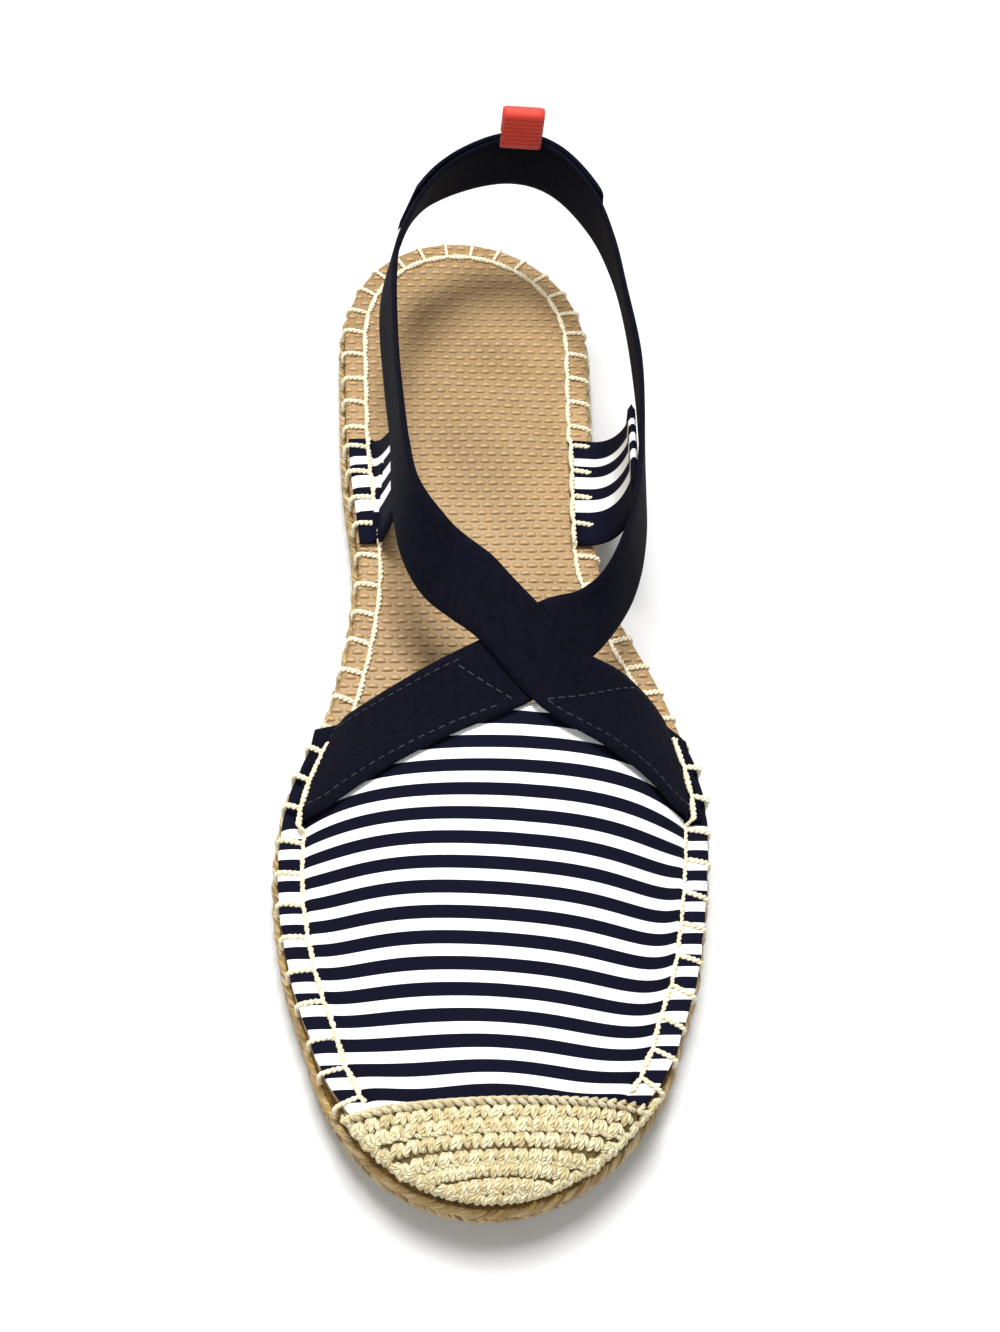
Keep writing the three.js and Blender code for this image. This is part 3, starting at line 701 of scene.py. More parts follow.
def foot_cover(x, y):
    """1 on the border beside a strap's foot, where the strap's navy end lies over the edge."""
    middle = crest_side(y)
    foot = top_edge(turn_at(y, x > middle), -border_at(y)).x
    beyond = (x - middle) / (foot - middle)
    return smooth_step(y, cover_end - 0.5, cover_end + 0.5) * smooth_step(beyond, 0.985, 1.0)


cover_end = -45.3


def stripe_count(y):
    """Inverse of place = first + step * n + growth * n * n."""
    inside = stripe_step**2 + 4 * stripe_growth * (y - stripe_first)
    return (-stripe_step + math.sqrt(max(0, inside))) / (2 * stripe_growth)


def mark(piece, name, value_at):
    """Stores a value at each point, worked out from its place in millimetres."""
    layer = piece.data.attributes.new(name, "FLOAT", "POINT")
    layer.data.foreach_set("value", [value_at(v.co / mm - to_frame) for v in piece.data.vertices])


mark(vamp, "stripe", lambda p: stripe_phase(p.x, p.y) + 4)
mark(vamp, "foot_cover", lambda p: foot_cover(p.x, p.y))
thicken(vamp, cloth_wall)
dress(vamp, striped, "upper")


# Elastic band
# One navy elastic, 19 mm wide. It starts under the border on the outer side, crosses over
# the instep, runs round the heel, passes back under itself and ends at the inner side.

elastic_width, elastic_wall = 19, 1.3
sling_rise = 25.5
band_seat = 0.9
band_overlap = 0.1
band = {
    "side": [0.494, 0.45, 0.405, 0.353, 0.256, 0.141, 0.061, -0.025, -0.097, -0.169, -0.21, -0.224,
             -0.223, -0.234, -0.243, -0.224, -0.165, -0.063, 0.095, 0.216, 0.311, 0.365, 0.39, 0.398,
             0.394, 0.387, 0.377, 0.351, 0.306, 0.24, 0.151, 0.049, -0.097, -0.242, -0.35, -0.393, -0.46],
    "along": [-0.175, -0.175, -0.169, -0.155, -0.137, -0.118, -0.095, -0.06, -0.028, 0.007, 0.045, 0.094,
              0.157, 0.2235, 0.298, 0.349, 0.418, 0.453, 0.473, 0.459, 0.41, 0.351, 0.292, 0.22, 0.157,
              0.106, 0.059, 0.014, -0.02, -0.055, -0.084, -0.106, -0.125, -0.146, -0.164, -0.171, -0.172],
    "up": [0, 0, 0, 0, 0, 0, 0, 0.95, 0.957, 0.98, 1, 1, 1, 0.984, 1.04, 1.1, 1.135, 1.155, 1.16, 1.155,
           1.135, 1.1, 1.04, 0.992, 1, 1, 1, 0.98, 0.953, 0.92, 0, 0, 0, 0, 0, 0, 0],
    "lean_side": [-0.09, 0.1, 0.22, 0.27, 0.24, 0.22, 0.19, 0.28, 0.28, 0.25, 0.18, 0.15, 0.08, 0.1, 0.15,
                  0.14, 0.19, 0.13, 0, -0.06, -0.1, -0.17, -0.19, -0.13, -0.15, -0.2, -0.27, -0.3, -0.31,
                  -0.33, -0.36, -0.33, -0.2, -0.1, 0, 0.06, 0.24],
    "lean_along": [0.99, 1.05, 1.08, 1.05, 0.95, 0.78, 0.83, 0.67, 0.66, 0.55, 0.45, 0.28, 0.1, 0, 0,
                   -0.1, -0.24, -0.22, -0.18, -0.17, -0.13, -0.05, -0.02, 0, -0.02, -0.05, 0, 0.1, 0.18,
                   0.5, 0.72, 0.76, 0.85, 0.98, 1.14, 1.2, 1.18],
    "hold": [1, 1, 1, 1, 1, 1, 1, 1, 0.5, 0, 0, 0, 0, 0, 0, 0, 0, 0, 0, 0, 0, 0, 0, 0, 0, 0, 0, 0, 0.3, 1,
             1, 1, 1, 1, 1, 1, 1],
    "layer": [0, 0, 0, 0, 0.6, 1, 1, 1, 0.6] + [0] * 28,
}
band["row"] = list(range(len(band["side"])))
band_end = len(band["side"]) - 1
band_back = 18


def off_last(x, y, distance):
    """Height of a point that lies a given distance off the last."""
    step = 0.5
    slope_x = (last_top(x + step, y) - last_top(x - step, y)) / (2 * step)
    slope_y = (last_top(x, y + step) - last_top(x, y - step)) / (2 * step)
    return last_top(x, y) + distance * min(math.hypot(1, slope_x, slope_y), 2.2)


def band_point(place, across):
    """A point of the band's middle surface: across is 0 at the front or lower edge, 1 at the other."""
    row = {name: smooth_value(band, "row", name, place) for name in band if name != "row"}
    flat = math.hypot(row["lean_side"], row["lean_along"])
    reach = across * elastic_width
    x = row["side"] * ball_width + row["lean_side"] * reach
    y = row["along"] * sole_length + row["lean_along"] * reach
    free = footbed_top + row["up"] * sling_rise + math.sqrt(max(0, 1 - flat * flat)) * reach
    hold = clamp(row["hold"], 0, 1)
    if hold == 0:
        return Vector((x, y, free))
    stacked = clamp(row["layer"], 0, 1) * (elastic_wall - band_overlap)
    return Vector((x, y, mix(free, off_last(x, y, band_seat + elastic_wall / 2 + stacked), hold)))


def sheet_grid(count, columns, point_at):
    return [[point_at(k / count, c / columns) for c in range(columns + 1)] for k in range(count + 1)]


def moved_off(grid, distance_at):
    """The grid moved along its normals, by a distance that may depend on the place across."""
    rows, columns = len(grid) - 1, len(grid[0]) - 1
    moved = []
    for r in range(rows + 1):
        row = []
        for c in range(columns + 1):
            along = grid[min(r + 1, rows)][c] - grid[max(r - 1, 0)][c]
            over = grid[r][min(c + 1, columns)] - grid[r][max(c - 1, 0)]
            row.append(grid[r][c] + over.cross(along).normalized() * distance_at(r / rows, c / columns))
        moved.append(row)
    return moved


def layered(name, grid, wall, edge=0.35):
    """A sheet with two faces and rounded edges, closed all round. Across runs round the section."""
    rows, columns = len(grid) - 1, len(grid[0]) - 1

    def half_wall(r, c):
        near = min(c, 1 - c) * columns
        ends = min(r, 1 - r) * rows
        return wall / 2 * min(1, edge + (1 - edge) * min(near, 1)) * min(1, edge + (1 - edge) * min(ends, 1))

    front = moved_off(grid, half_wall)
    back = moved_off(grid, lambda r, c: -half_wall(r, c))
    ring = [front_row + back_row[::-1] + front_row[:1] for front_row, back_row in zip(front, back)]
    section = len(ring[0]) - 1

    def place(across, along):
        return ring[round(along * rows)][round(across * section)]

    piece = grid_piece(name, section, rows, place)
    close_ends(piece)
    return piece


def close_ends(piece):
    """Fills the two open ends of a closed ring of faces, and turns all faces outwards."""
    bpy.ops.object.mode_set(mode="EDIT")
    bpy.ops.mesh.select_all(action="DESELECT")
    bpy.ops.mesh.select_mode(type="EDGE")
    bpy.ops.mesh.select_non_manifold()
    bpy.ops.mesh.fill()
    bpy.ops.mesh.select_all(action="SELECT")
    bpy.ops.mesh.normals_make_consistent(inside=False)
    bpy.ops.object.mode_set(mode="OBJECT")


band_steps = 8
band_grid = sheet_grid(band_end * band_steps, 14, lambda along, across: band_point(along * band_end, across))
elastic_band = layered("elastic_band", band_grid, elastic_wall)

# Woven elastic, dyed navy: matt, its fine crossed weave drawn as bumps
elastic, shader = clothed("woven elastic, dyed navy")
maps = node(elastic, "TexCoord")
fuzz = node(elastic, "TexNoise", [("Vector", maps.outputs["Object"])], Scale=700, Detail=4)
tint = ramp(elastic, fuzz.outputs["Fac"], [(0.3, "#06060F"), (0.75, "#0C0D1B")])
link(elastic, tint.outputs["Color"], shader, "Base Color")
cloth_weave(elastic, shader, maps.outputs["Object"], 0.8)
dress(elastic_band, elastic, "cross_straps")


def thread_curve(name, paths, radius, sides=2):
    """Tubes along paths of points, made one mesh."""
    curve = bpy.data.curves.new(name, "CURVE")
    curve.dimensions = "3D"
    curve.bevel_depth = radius * mm
    curve.bevel_resolution = sides
    curve.use_fill_caps = True
    for points in paths:
        spline = curve.splines.new("POLY")
        spline.points.add(len(points) - 1)
        for target, point in zip(spline.points, points):
            target.co = (*in_frame(point[:3]), 1)
            target.radius = point[3] if len(point) > 3 else 1
    piece = bpy.data.objects.new(name, curve)
    bpy.context.scene.collection.objects.link(piece)
    bpy.ops.object.select_all(action="DESELECT")
    piece.select_set(True)
    bpy.context.view_layer.objects.active = piece
    bpy.ops.object.convert(target="MESH")
    bpy.ops.object.shade_smooth()
    return bpy.context.object


# Seams in thin navy thread: along the front edges, and one row across each strap's foot
seam_pitch, seam_stitch = 2.4, 1.5
seams = [((0.6, 0.13), (5.5, 0.13)), ((31.3, 0.13), (36.2, 0.13)), ((31.6, 0.88), (35.2, 0.88)),
         ((5.4, 0.14), (3.73, 0.93)), ((31.05, 0.14), (31.7, 0.88))]


def on_band(place, across, lift):
    centre = band_point(place, across)
    along = band_point(place + 0.05, across) - band_point(place - 0.05, across)
    over = band_point(place, across + 0.03) - band_point(place, across - 0.03)
    return centre + over.cross(along).normalized() * lift


def seam_paths(start, end):
    """The stitches of one seam, each a short arc that dips into the band at both ends."""
    steps = 400
    line = [on_band(mix(start[0], end[0], k / steps), mix(start[1], end[1], k / steps), 0) for k in range(steps + 1)]
    walked, paths, k = 0, [], 0
    current = []
    for k in range(1, steps + 1):
        walked += (line[k] - line[k - 1]).length
        part = walked % seam_pitch / seam_stitch
        if part > 1:
            if len(current) > 3:
                paths.append(current)
            current = []
            continue
        share = k / steps
        lift = elastic_wall / 2 + 0.12 * math.sin(math.pi * part) - 0.05
        current.append(on_band(mix(start[0], end[0], share), mix(start[1], end[1], share), lift))
    return paths


band_seams = thread_curve("band_seams", [path for seam in seams for path in seam_paths(*seam)], 0.17, 1)
seam_thread, shader = new_material("polyester thread, navy")
place = node(seam_thread, "TexCoord").outputs["Object"]
shade = node(seam_thread, "TexNoise", [("Vector", place)], Scale=900, Detail=2)
tint = ramp(seam_thread, shade.outputs["Fac"], [(0.35, "#171823"), (0.7, "#2C2D3C")])
link(seam_thread, tint.outputs["Color"], shader, "Base Color")
shader.inputs["Roughness"].default_value = 0.6
dress(band_seams, seam_thread, "cross_straps")


# Toe cap
# Hand crochet in cotton yarn over the toe, from a chain edge across the vamp down to the jute. Its
# rows run straight across, and the last ones follow the toe. The ground is the yarn's shaded
# depth, and each stitch is three spindles fanned from one loop, some with two slanted bars under them.

cap_wall, cap_seat, cap_ease = 1.5, 0.45, 0.8
cap_hem = 0.5
hem_level = jute_top + cap_hem
fan_centre = Vector((crest_side(toe_fan), toe_fan, 0))
fan_rise = crest_rise(toe_fan)


def cap_foot(turn):
    return top_edge(turn, 0)


def dome_point(turn, share, lift):
    """A point of the cap's dome on the line from the crest to the outline's turn."""
    foot = cap_foot(turn)
    point = mix(fan_centre, foot, share)
    point.z = border_top + spring_at(point.y) + fan_rise * arch(share) + lift
    return point


def cap_skin(turn, fall, lift):
    """A point of the cap: fall runs from 0 at the crest to 1 at the sole's edge and on to 2 at the
    hem. The corner between the dome and the wall is rounded."""
    if fall <= 1:
        point = dome_point(turn, math.sin(math.pi / 2 * fall), 0)
        normal = outline_normal(turn)
        bulge = smooth_step(fall, 0.55, 1)
        return point + normal * lift * bulge + Vector((0, 0, lift * math.sqrt(max(0, 1 - 0.75 * bulge * bulge))))
    foot = cap_foot(turn) + outline_normal(turn) * lift
    foot.z = mix(border_top + 0.5 * lift, hem_level, fall - 1) + spring_at(foot.y)
    return foot


def turn_towards(x, y):
    """The turn of the outline that a point of the dome lies towards, and its share of the way."""
    low, high = 0.75, 1.25
    aim = Vector((x, y, 0)) - fan_centre
    for _ in range(30):
        middle = (low + high) / 2
        foot = cap_foot(middle) - fan_centre
        if foot.x * aim.y - foot.y * aim.x > 0:
            high = middle
        else:
            low = middle
    return low, aim.length / (cap_foot(low) - fan_centre).length


cap_lift = cap_seat + 0.7
cap_from, cap_to = turn_at(cap_line, True), turn_at(cap_line, False)


def cap_place(across, along):
    turn = mix(cap_from, cap_to, across)
    foot = cap_foot(turn)
    start_share = clamp((cap_line - fan_centre.y) / (foot.y - fan_centre.y), 0, 1)
    start = 2 / math.pi * math.asin(start_share)
    return cap_skin(turn, mix(start, 2, along), cap_lift)


cap_ground = grid_piece("cap_ground", 90, 30, cap_place)
thicken(cap_ground, 0.7)

stitch_model = spindle(8, 8)
yarn_width = 1.38
chance = random.Random(11)


def yarn_limb(start, heading, normal, length, width):
    """One limb of a stitch: a plump spindle from a start point, lying on the cap."""
    beside = normal.cross(heading).normalized()

    def put(p):
        fullness = math.sqrt(1 + 4 * p.x * p.x)
        bow = 0.3 * (1 - 4 * p.x * p.x)
        middle = start + heading * (p.x + 0.5) * length
        return middle + beside * p.y * width * fullness + normal * (p.z * width * fullness + bow)

    return put


def cap_frame(turn, fall, lift):
    """Centre, direction to the next row and normal of the cap at a place."""
    centre = cap_skin(turn, fall, lift)
    down = cap_skin(turn, fall + 0.03, lift) - cap_skin(turn, fall - 0.03, lift)
    beside = cap_skin(turn + 0.004, fall, lift) - cap_skin(turn - 0.004, fall, lift)
    normal = down.cross(beside).normalized()
    if normal.z < 0 and normal.dot(outline_normal(turn)) < 0:
        normal = -normal
    return centre, down.normalized(), normal


limbs = []
row_pitch, hole_gap = 2.35, 0.75
first_row = 2.7
fan_pitch = 3.3
rim_start = 0.95
rim_rows = [1.0, 1.34, 1.7]


def lay_fan(turn, fall, forward, bars):
    """A crochet stitch: three limbs that fan out from one loop, and two slanted bars under them."""
    centre, down, normal = cap_frame(turn, fall, cap_lift + 0.2)
    heading = down if forward is None else (forward - normal * forward.dot(normal)).normalized()
    across = normal.cross(heading).normalized()
    for spread in (-1, 0, 1):
        angle = math.radians(28 * spread + chance.uniform(-7, 7))
        limb = heading * math.cos(angle) + across * math.sin(angle)
        start = centre - heading * 1.5 + across * 0.35 * spread
        limbs.append((yarn_limb(start, limb, normal, 3.1 + chance.uniform(-0.2, 0.3), yarn_width), chance.random()))
    if not bars:
        return
    for side in (-1, 1):
        angle = math.radians(side * (72 + chance.uniform(-8, 8)))
        limb = heading * math.cos(angle) + across * math.sin(angle)
        start = centre + heading * 0.95 + across * 0.1 * side
        limbs.append((yarn_limb(start, limb, normal, 2.1, 0.95), chance.random()))


# Straight rows, one after another over the middle of the toe. The third and fourth leave small holes
toe_foot = cap_foot(1)
start_share = (cap_line - fan_centre.y) / (toe_foot.y - fan_centre.y)
start_fall = 2 / math.pi * math.asin(start_share)
straight_rows = []
walked, before = 0, cap_skin(1, start_fall, cap_lift)
for k in range(1, 301):
    here = cap_skin(1, mix(start_fall, rim_start, k / 300), cap_lift)
    walked += (here - before).length
    before = here
    opened = hole_gap * clamp(len(straight_rows) - 1, 0, 2)
    if walked > first_row + row_pitch * len(straight_rows) + opened:
        straight_rows.append(here.y)

straight = Vector((0, -1, 0))


def across_cap(y, start, pitch):
    """Places along a straight row, a pitch apart over the surface: (turn, share)."""
    x = start
    while x < ball_width / 2:
        turn, share = turn_towards(x, y)
        if share > 0.995:
            x += 0.4
            continue
        if cap_from < turn < cap_to:
            yield turn, share
        slope = abs(arch(min(share + 0.01, 1)) - arch(share)) * fan_rise / 0.01 / (cap_foot(turn) - fan_centre).length
        x += pitch / math.sqrt(1 + slope * slope)


for k, y in enumerate(straight_rows):
    for turn, share in across_cap(y, -ball_width / 2 + fan_pitch / 2 * (k % 2), fan_pitch):
        fall = 2 / math.pi * math.asin(share)
        if fall < rim_start:
            lay_fan(turn, fall, straight, k % 2 == 1)
for k, fall in enumerate(rim_rows):
    turn = cap_from + 0.003 * (k % 2)
    while turn < cap_to:
        lay_fan(turn, fall, None, k == 1)
        here = cap_skin(turn, fall, cap_lift)
        turn += 0.002 * fan_pitch / (cap_skin(turn + 0.002, fall, cap_lift) - here).length

# The chain along the rear edge: links that lie end over end, each a tilted spindle
for turn, share in across_cap(cap_line - 0.7, -ball_width / 2, 2.1):
    fall = 2 / math.pi * math.asin(share)
    centre, down, normal = cap_frame(turn, fall, cap_lift + 0.35)
    sideways = Vector((1, 0, 0))
    sideways = (sideways - normal * sideways.x).normalized()
    across = normal.cross(sideways).normalized()
    for side in (-1, 1):
        angle = math.radians(side * 11)
        limb = sideways * math.cos(angle) + across * math.sin(angle)
        start = centre + Vector((0, side * 0.45, 0)) - limb * 2.3
        limbs.append((yarn_limb(start, limb, normal, 4.6, 1.1), chance.random()))
cap_stitches = copies_piece("cap_stitches", stitch_model, limbs)

# Cotton yarn, two-ply: cream, soft and matt, its twist showing as slanted ridges round each loop. The grooves between
# the plies are painted darker as shade, and each stitch has its own random tone
yarn, shader = new_material("cotton yarn, crocheted")
maps = node(yarn, "TexCoord")
tone = node(yarn, "VertexColor", layer_name="tone")
twist = node(yarn, "Mapping", [("Vector", maps.outputs["UV"])])
twist.inputs["Rotation"].default_value = (0, 0, math.radians(38))
plies = node(yarn, "TexWave", [("Vector", twist.outputs[0])], Scale=1.7, Distortion=0.5, Detail=2)
# Painted shade in the grooves between the plies, mixed with each stitch's random tone
ply_shade_and_tone = node(yarn, "Math", [(0, plies.outputs["Fac"]), (1, tone.outputs["Color"])], operation="MULTIPLY_ADD")
ply_shade_and_tone.inputs[1].default_value = 0.45
yarn.node_tree.links.new(tone.outputs["Color"], ply_shade_and_tone.inputs[2])
tint = ramp(yarn, ply_shade_and_tone.outputs[0], [(0.0, "#C4B280"), (0.6, "#D3C495"), (1.0, "#E2D6AF")])
link(yarn, tint.outputs["Color"], shader, "Base Color")
shader.inputs["Roughness"].default_value = 0.85
shader.inputs["Sheen Weight"].default_value = 0.2
bumped(yarn, shader, plies.outputs["Fac"], 0.0005, 0.7)
dress(cap_stitches, yarn, "toe_cap")

yarn_shade, shader = new_material("cotton yarn, shaded ground")
place = node(yarn_shade, "TexCoord").outputs["Object"]
grain = node(yarn_shade, "TexNoise", [("Vector", place)], Scale=500, Detail=3)
tint = ramp(yarn_shade, grain.outputs["Fac"], [(0.3, "#46371A"), (0.7, "#7C673A")])
link(yarn_shade, tint.outputs["Color"], shader, "Base Color")
shader.inputs["Roughness"].default_value = 0.95
dress(cap_ground, yarn_shade, "toe_cap")


# Heel patch
# A piece of the striped cloth, bound in navy, sewn outside the band at the back of the heel.

patch_rows = 2.2
patch_wall = 1.2
patch_off = elastic_wall / 2 + 0.2
patch_grid = sheet_grid(40, 16, lambda along, across: band_point(band_back + patch_rows * (2 * along - 1), across))
patch_grid = moved_off(patch_grid, lambda r, c: patch_off + patch_wall / 2)
heel_patch = layered("heel_patch_cloth", patch_grid, patch_wall)

patch_length = sum((patch_grid[k + 1][8] - patch_grid[k][8]).length for k in range(len(patch_grid) - 1))


def bound_cloth(name, length, height, binding, ends, pitch):
    """The striped cloth with navy bindings. Stripes run up the piece; sizes are millimetres."""
    material, shader = clothed(name)
    maps = node(material, "TexCoord")
    along = node(material, "Attribute", attribute_name="along")
    up = node(material, "Attribute", attribute_name="up")
    count = node(material, "Math", [(0, along.outputs["Fac"])], operation="PINGPONG")
    count.inputs[1].default_value = pitch / 2
    stripe = node(material, "MapRange", [("Value", count.outputs[0])], interpolation_type="SMOOTHSTEP",
                  From_Min=pitch / 4 - 0.08, From_Max=pitch / 4 + 0.08)
    inside_low = node(material, "MapRange", [("Value", up.outputs["Fac"])], From_Min=binding[0] - 0.1,
                      From_Max=binding[0] + 0.1)
    inside_high = node(material, "MapRange", [("Value", up.outputs["Fac"])],
                       From_Min=height - binding[1] - 0.1, From_Max=height - binding[1] + 0.1, To_Min=1, To_Max=0)
    inside_start = node(material, "MapRange", [("Value", along.outputs["Fac"])], From_Min=ends[0] - 0.1,
                        From_Max=ends[0] + 0.1)
    inside_end = node(material, "MapRange", [("Value", along.outputs["Fac"])],
                      From_Min=length - ends[1] - 0.1, From_Max=length - ends[1] + 0.1, To_Min=1, To_Max=0)
    product = stripe
    for part in (inside_low, inside_high, inside_start, inside_end):
        product = node(material, "Math", [(0, product.outputs[0]), (1, part.outputs[0])], operation="MULTIPLY")
    tint = ramp(material, product.outputs[0], [(0.0, navy_stripe), (1.0, white_stripe)])
    link(material, tint.outputs["Color"], shader, "Base Color")
    cloth_weave(material, shader, maps.outputs["Object"])
    return material


def mark_sheet(piece, grid, length, height):
    """Stores how far along and up a sheet each of its points lies, in millimetres."""
    rows, columns = len(grid) - 1, len(grid[0]) - 1
    along, up = [], []
    places = [(grid[r][c], r / rows * length, c / columns * height) for r in range(rows + 1) for c in range(columns + 1)]
    from mathutils.kdtree import KDTree
    tree = KDTree(len(places))
    for k, (point, _, _) in enumerate(places):
        tree.insert(in_frame(point), k)
    tree.balance()
    for vertex in piece.data.vertices:
        _, k, _ = tree.find(vertex.co)
        along.append(places[k][1])
        up.append(places[k][2])
    for name, values in (("along", along), ("up", up)):
        layer = piece.data.attributes.new(name, "FLOAT", "POINT")
        layer.data.foreach_set("value", values)


mark_sheet(heel_patch, patch_grid, patch_length, elastic_width)
patch_cloth = bound_cloth("striped cloth, bound in navy, heel", patch_length, elastic_width, (4, 3), (3, 3), 5.4)
dress(heel_patch, patch_cloth, "heel_patch")


# Side tabs
# Two tabs of striped cloth, bound in navy. Each is sewn on at the sole's edge under the edge
# stitches and stands up inside the band, where its top is sewn.

tab_wall = 1.8
tab_root_width, tab_top_width, tab_top_height = 31, 21, 33
tab_root_share, tab_top_shares = 0.178, {"outer": 0.147, "inner": 0.14}
tab_places = {"outer": 24.2, "inner": 11.8}
tab_row_share = 0.068
tab_columns, tab_heights = 30, 26


def tab_grid(outer_side):
    sign = 1 if outer_side else -1
    top_share = tab_top_shares["outer" if outer_side else "inner"]
    level = border_bottom + tab_wall / 2
    behind = elastic_wall / 2 + 0.3 + 0.185 + tab_wall / 2
    grid = []
    for k in range(tab_columns + 1):
        share = k / tab_columns - 0.5
        root_y = tab_root_share * sole_length + share * tab_root_width
        top_y = top_share * sole_length + share * tab_top_width
        rows = share * tab_top_width / (tab_row_share * sole_length)
        place = tab_places["outer"] - rows if outer_side else tab_places["inner"] + rows
        low, high = band_point(place, 0), band_point(place, 0.6)
        turn = turn_at(root_y, outer_side)
        column = [outline_point(turn, mix(-0.4, -border_width, s)) for s in (0, 0.25, 0.5, 0.75)]
        for point in column:
            point.z = level
        bend = outline_point(turn, -border_width)
        bend.z = level
        column.append(bend)
        for h in range(1, tab_heights + 1):
            t = h / tab_heights
            z = mix(level, footbed_top + tab_top_height, t**1.4)
            on_band = low.x + (high.x - low.x) * (z - low.z) / (high.z - low.z) - sign * behind
            swung = min(1, t / 0.74) ** 0.45
            column.append(Vector((mix(bend.x, on_band, swung), mix(bend.y, top_y, t), z)))
        grid.append(column)
    return grid


for side in ("inner", "outer"):
    grid = tab_grid(side == "outer")
    tab = layered(f"tab_cloth_{side}", grid, tab_wall)
    mark_sheet(tab, grid, 24, 40)
    tab_cloth = bound_cloth(f"striped cloth, bound in navy, {side} tab", 24, 40, (-1, -1), (4.2, 4.6), 5.4)
    dress(tab, tab_cloth, f"side_tab_{side}")


# Pull loop
# A red ribbed ribbon, folded into a loop over the band's top edge at the heel and sewn to it.

loop_place = 18.18
loop_width, loop_height, loop_depth, loop_tail = 10, 10, 3.8, 1.5
ribbon_wall = 1
band_sag = 0.8
loop_top = band_point(loop_place, 1)
sideways = band_point(loop_place + 0.1, 1) - band_point(loop_place - 0.1, 1)
sideways.z = 0
sideways.normalize()
outwards = Vector((-sideways.y, sideways.x, 0))
lower = band_point(loop_place, 0.5)
loop_lean = (lower - loop_top).dot(outwards) / (loop_top.z - lower.z)
inside = -(elastic_wall / 2 + 0.3 + band_sag) - ribbon_wall / 2
crown = (loop_depth - ribbon_wall) / 2
crown_rise = loop_height - ribbon_wall / 2 - crown
path = [(mix(inside + loop_lean * loop_tail, inside, k / 6), -loop_tail * (1 - k / 6)) for k in range(6)]
path += [(inside, crown_rise * k / 6) for k in range(6)]
path += [(inside + crown - crown * math.cos(math.pi * k / 12), crown_rise + crown * math.sin(math.pi * k / 12))
         for k in range(13)]
path += [(inside + 2 * crown, mix(crown_rise, 0.3 + band_sag, k / 6)) for k in range(1, 7)]


def loop_point(along, across):
    out, up = path[round(along * (len(path) - 1))]
    point = loop_top + sideways * (across - 0.5) * loop_width + outwards * out
    point.z = loop_top.z + up
    return point


loop_grid = sheet_grid(len(path) - 1, 10, loop_point)
pull_ribbon = layered("pull_ribbon", loop_grid, ribbon_wall * 0.9)

# Grosgrain ribbon, dyed red: crosswise ribs 1 mm apart, a soft satin on each; the grooves between ribs are painted
# darker as shade and the crests lighter as painted highlight
ribbon, shader = new_material("grosgrain ribbon, dyed red")
run = node(ribbon, "Attribute", attribute_name="along")
ribs = node(ribbon, "Math", [(0, run.outputs["Fac"])], operation="PINGPONG")
ribs.inputs[1].default_value = 0.5
# The rib height also sets the colour: painted shade in the grooves, painted highlight on the crests
height = node(ribbon, "MapRange", [("Value", ribs.outputs[0])], interpolation_type="SMOOTHERSTEP",
              From_Min=0, From_Max=0.5)
tint = ramp(ribbon, height.outputs[0], [(0.0, "#BE1E07"), (0.5, "#CE2509"), (1.0, "#DA300F")])
link(ribbon, tint.outputs["Color"], shader, "Base Color")
shader.inputs["Roughness"].default_value = 0.55
shader.inputs["Sheen Weight"].default_value = 0.3
bumped(ribbon, shader, height.outputs[0], 0.00009, 0.6)
mark_sheet(pull_ribbon, loop_grid, 33, loop_width)
dress(pull_ribbon, ribbon, "pull_loop")


# Edge stitching
# Waxed cream thread joins the uppers to the sole: a twisted line runs along the border's inner
# edge, and from it a doubled stitch goes over the edge every 7 mm and down into the jute.

thread_radius = 0.36
line_inset = 5
side_fall = 11.6


foot_front = band["along"][0] * sole_length
foot_rear = foot_front + elastic_width
foot_flare = 2.5
foot_inset = 3.3


def edge_level(turn):
    """Top of what lies on the sole's edge: the upper's border, a strap's foot, a tab's root, or
    the footbed."""
    y = outline_at(turn).y
    on_border = smooth_step(-y, -upper_rear - 1, -upper_rear + 1)
    root = abs(y - tab_root_share * sole_length) - tab_root_width / 2
    on_tab = 1 - smooth_step(root, -0.8, 0.8)
    on_foot = smooth_step(y, foot_front - 1, foot_front) * smooth_step(-y, -foot_rear - 1, -foot_rear)
    return max(mix(footbed_top, border_top, on_border), mix(footbed_top, border_bottom + tab_wall, on_tab),
               mix(footbed_top, border_top + band_seat + elastic_wall, on_foot))


def line_place(turn):
    """Inset and height of the line along the border. Over a strap's foot it lies closer to the edge."""
    y, level = outline_at(turn).y, edge_level(turn)
    rear = foot_rear + foot_flare
    on_foot = smooth_step(y, foot_front - 1.5, foot_front) * smooth_step(-y, -rear - 1.5, 1.5 - rear)
    inset = mix(line_inset, foot_inset, on_foot)
    point = outline_point(turn, -inset)
    over_strap = off_last(point.x, point.y, band_seat + elastic_wall + 0.3)
    return inset, max(level, mix(level, over_strap, on_foot))


stitch_spread, stitch_twist = 0.3, 2.3


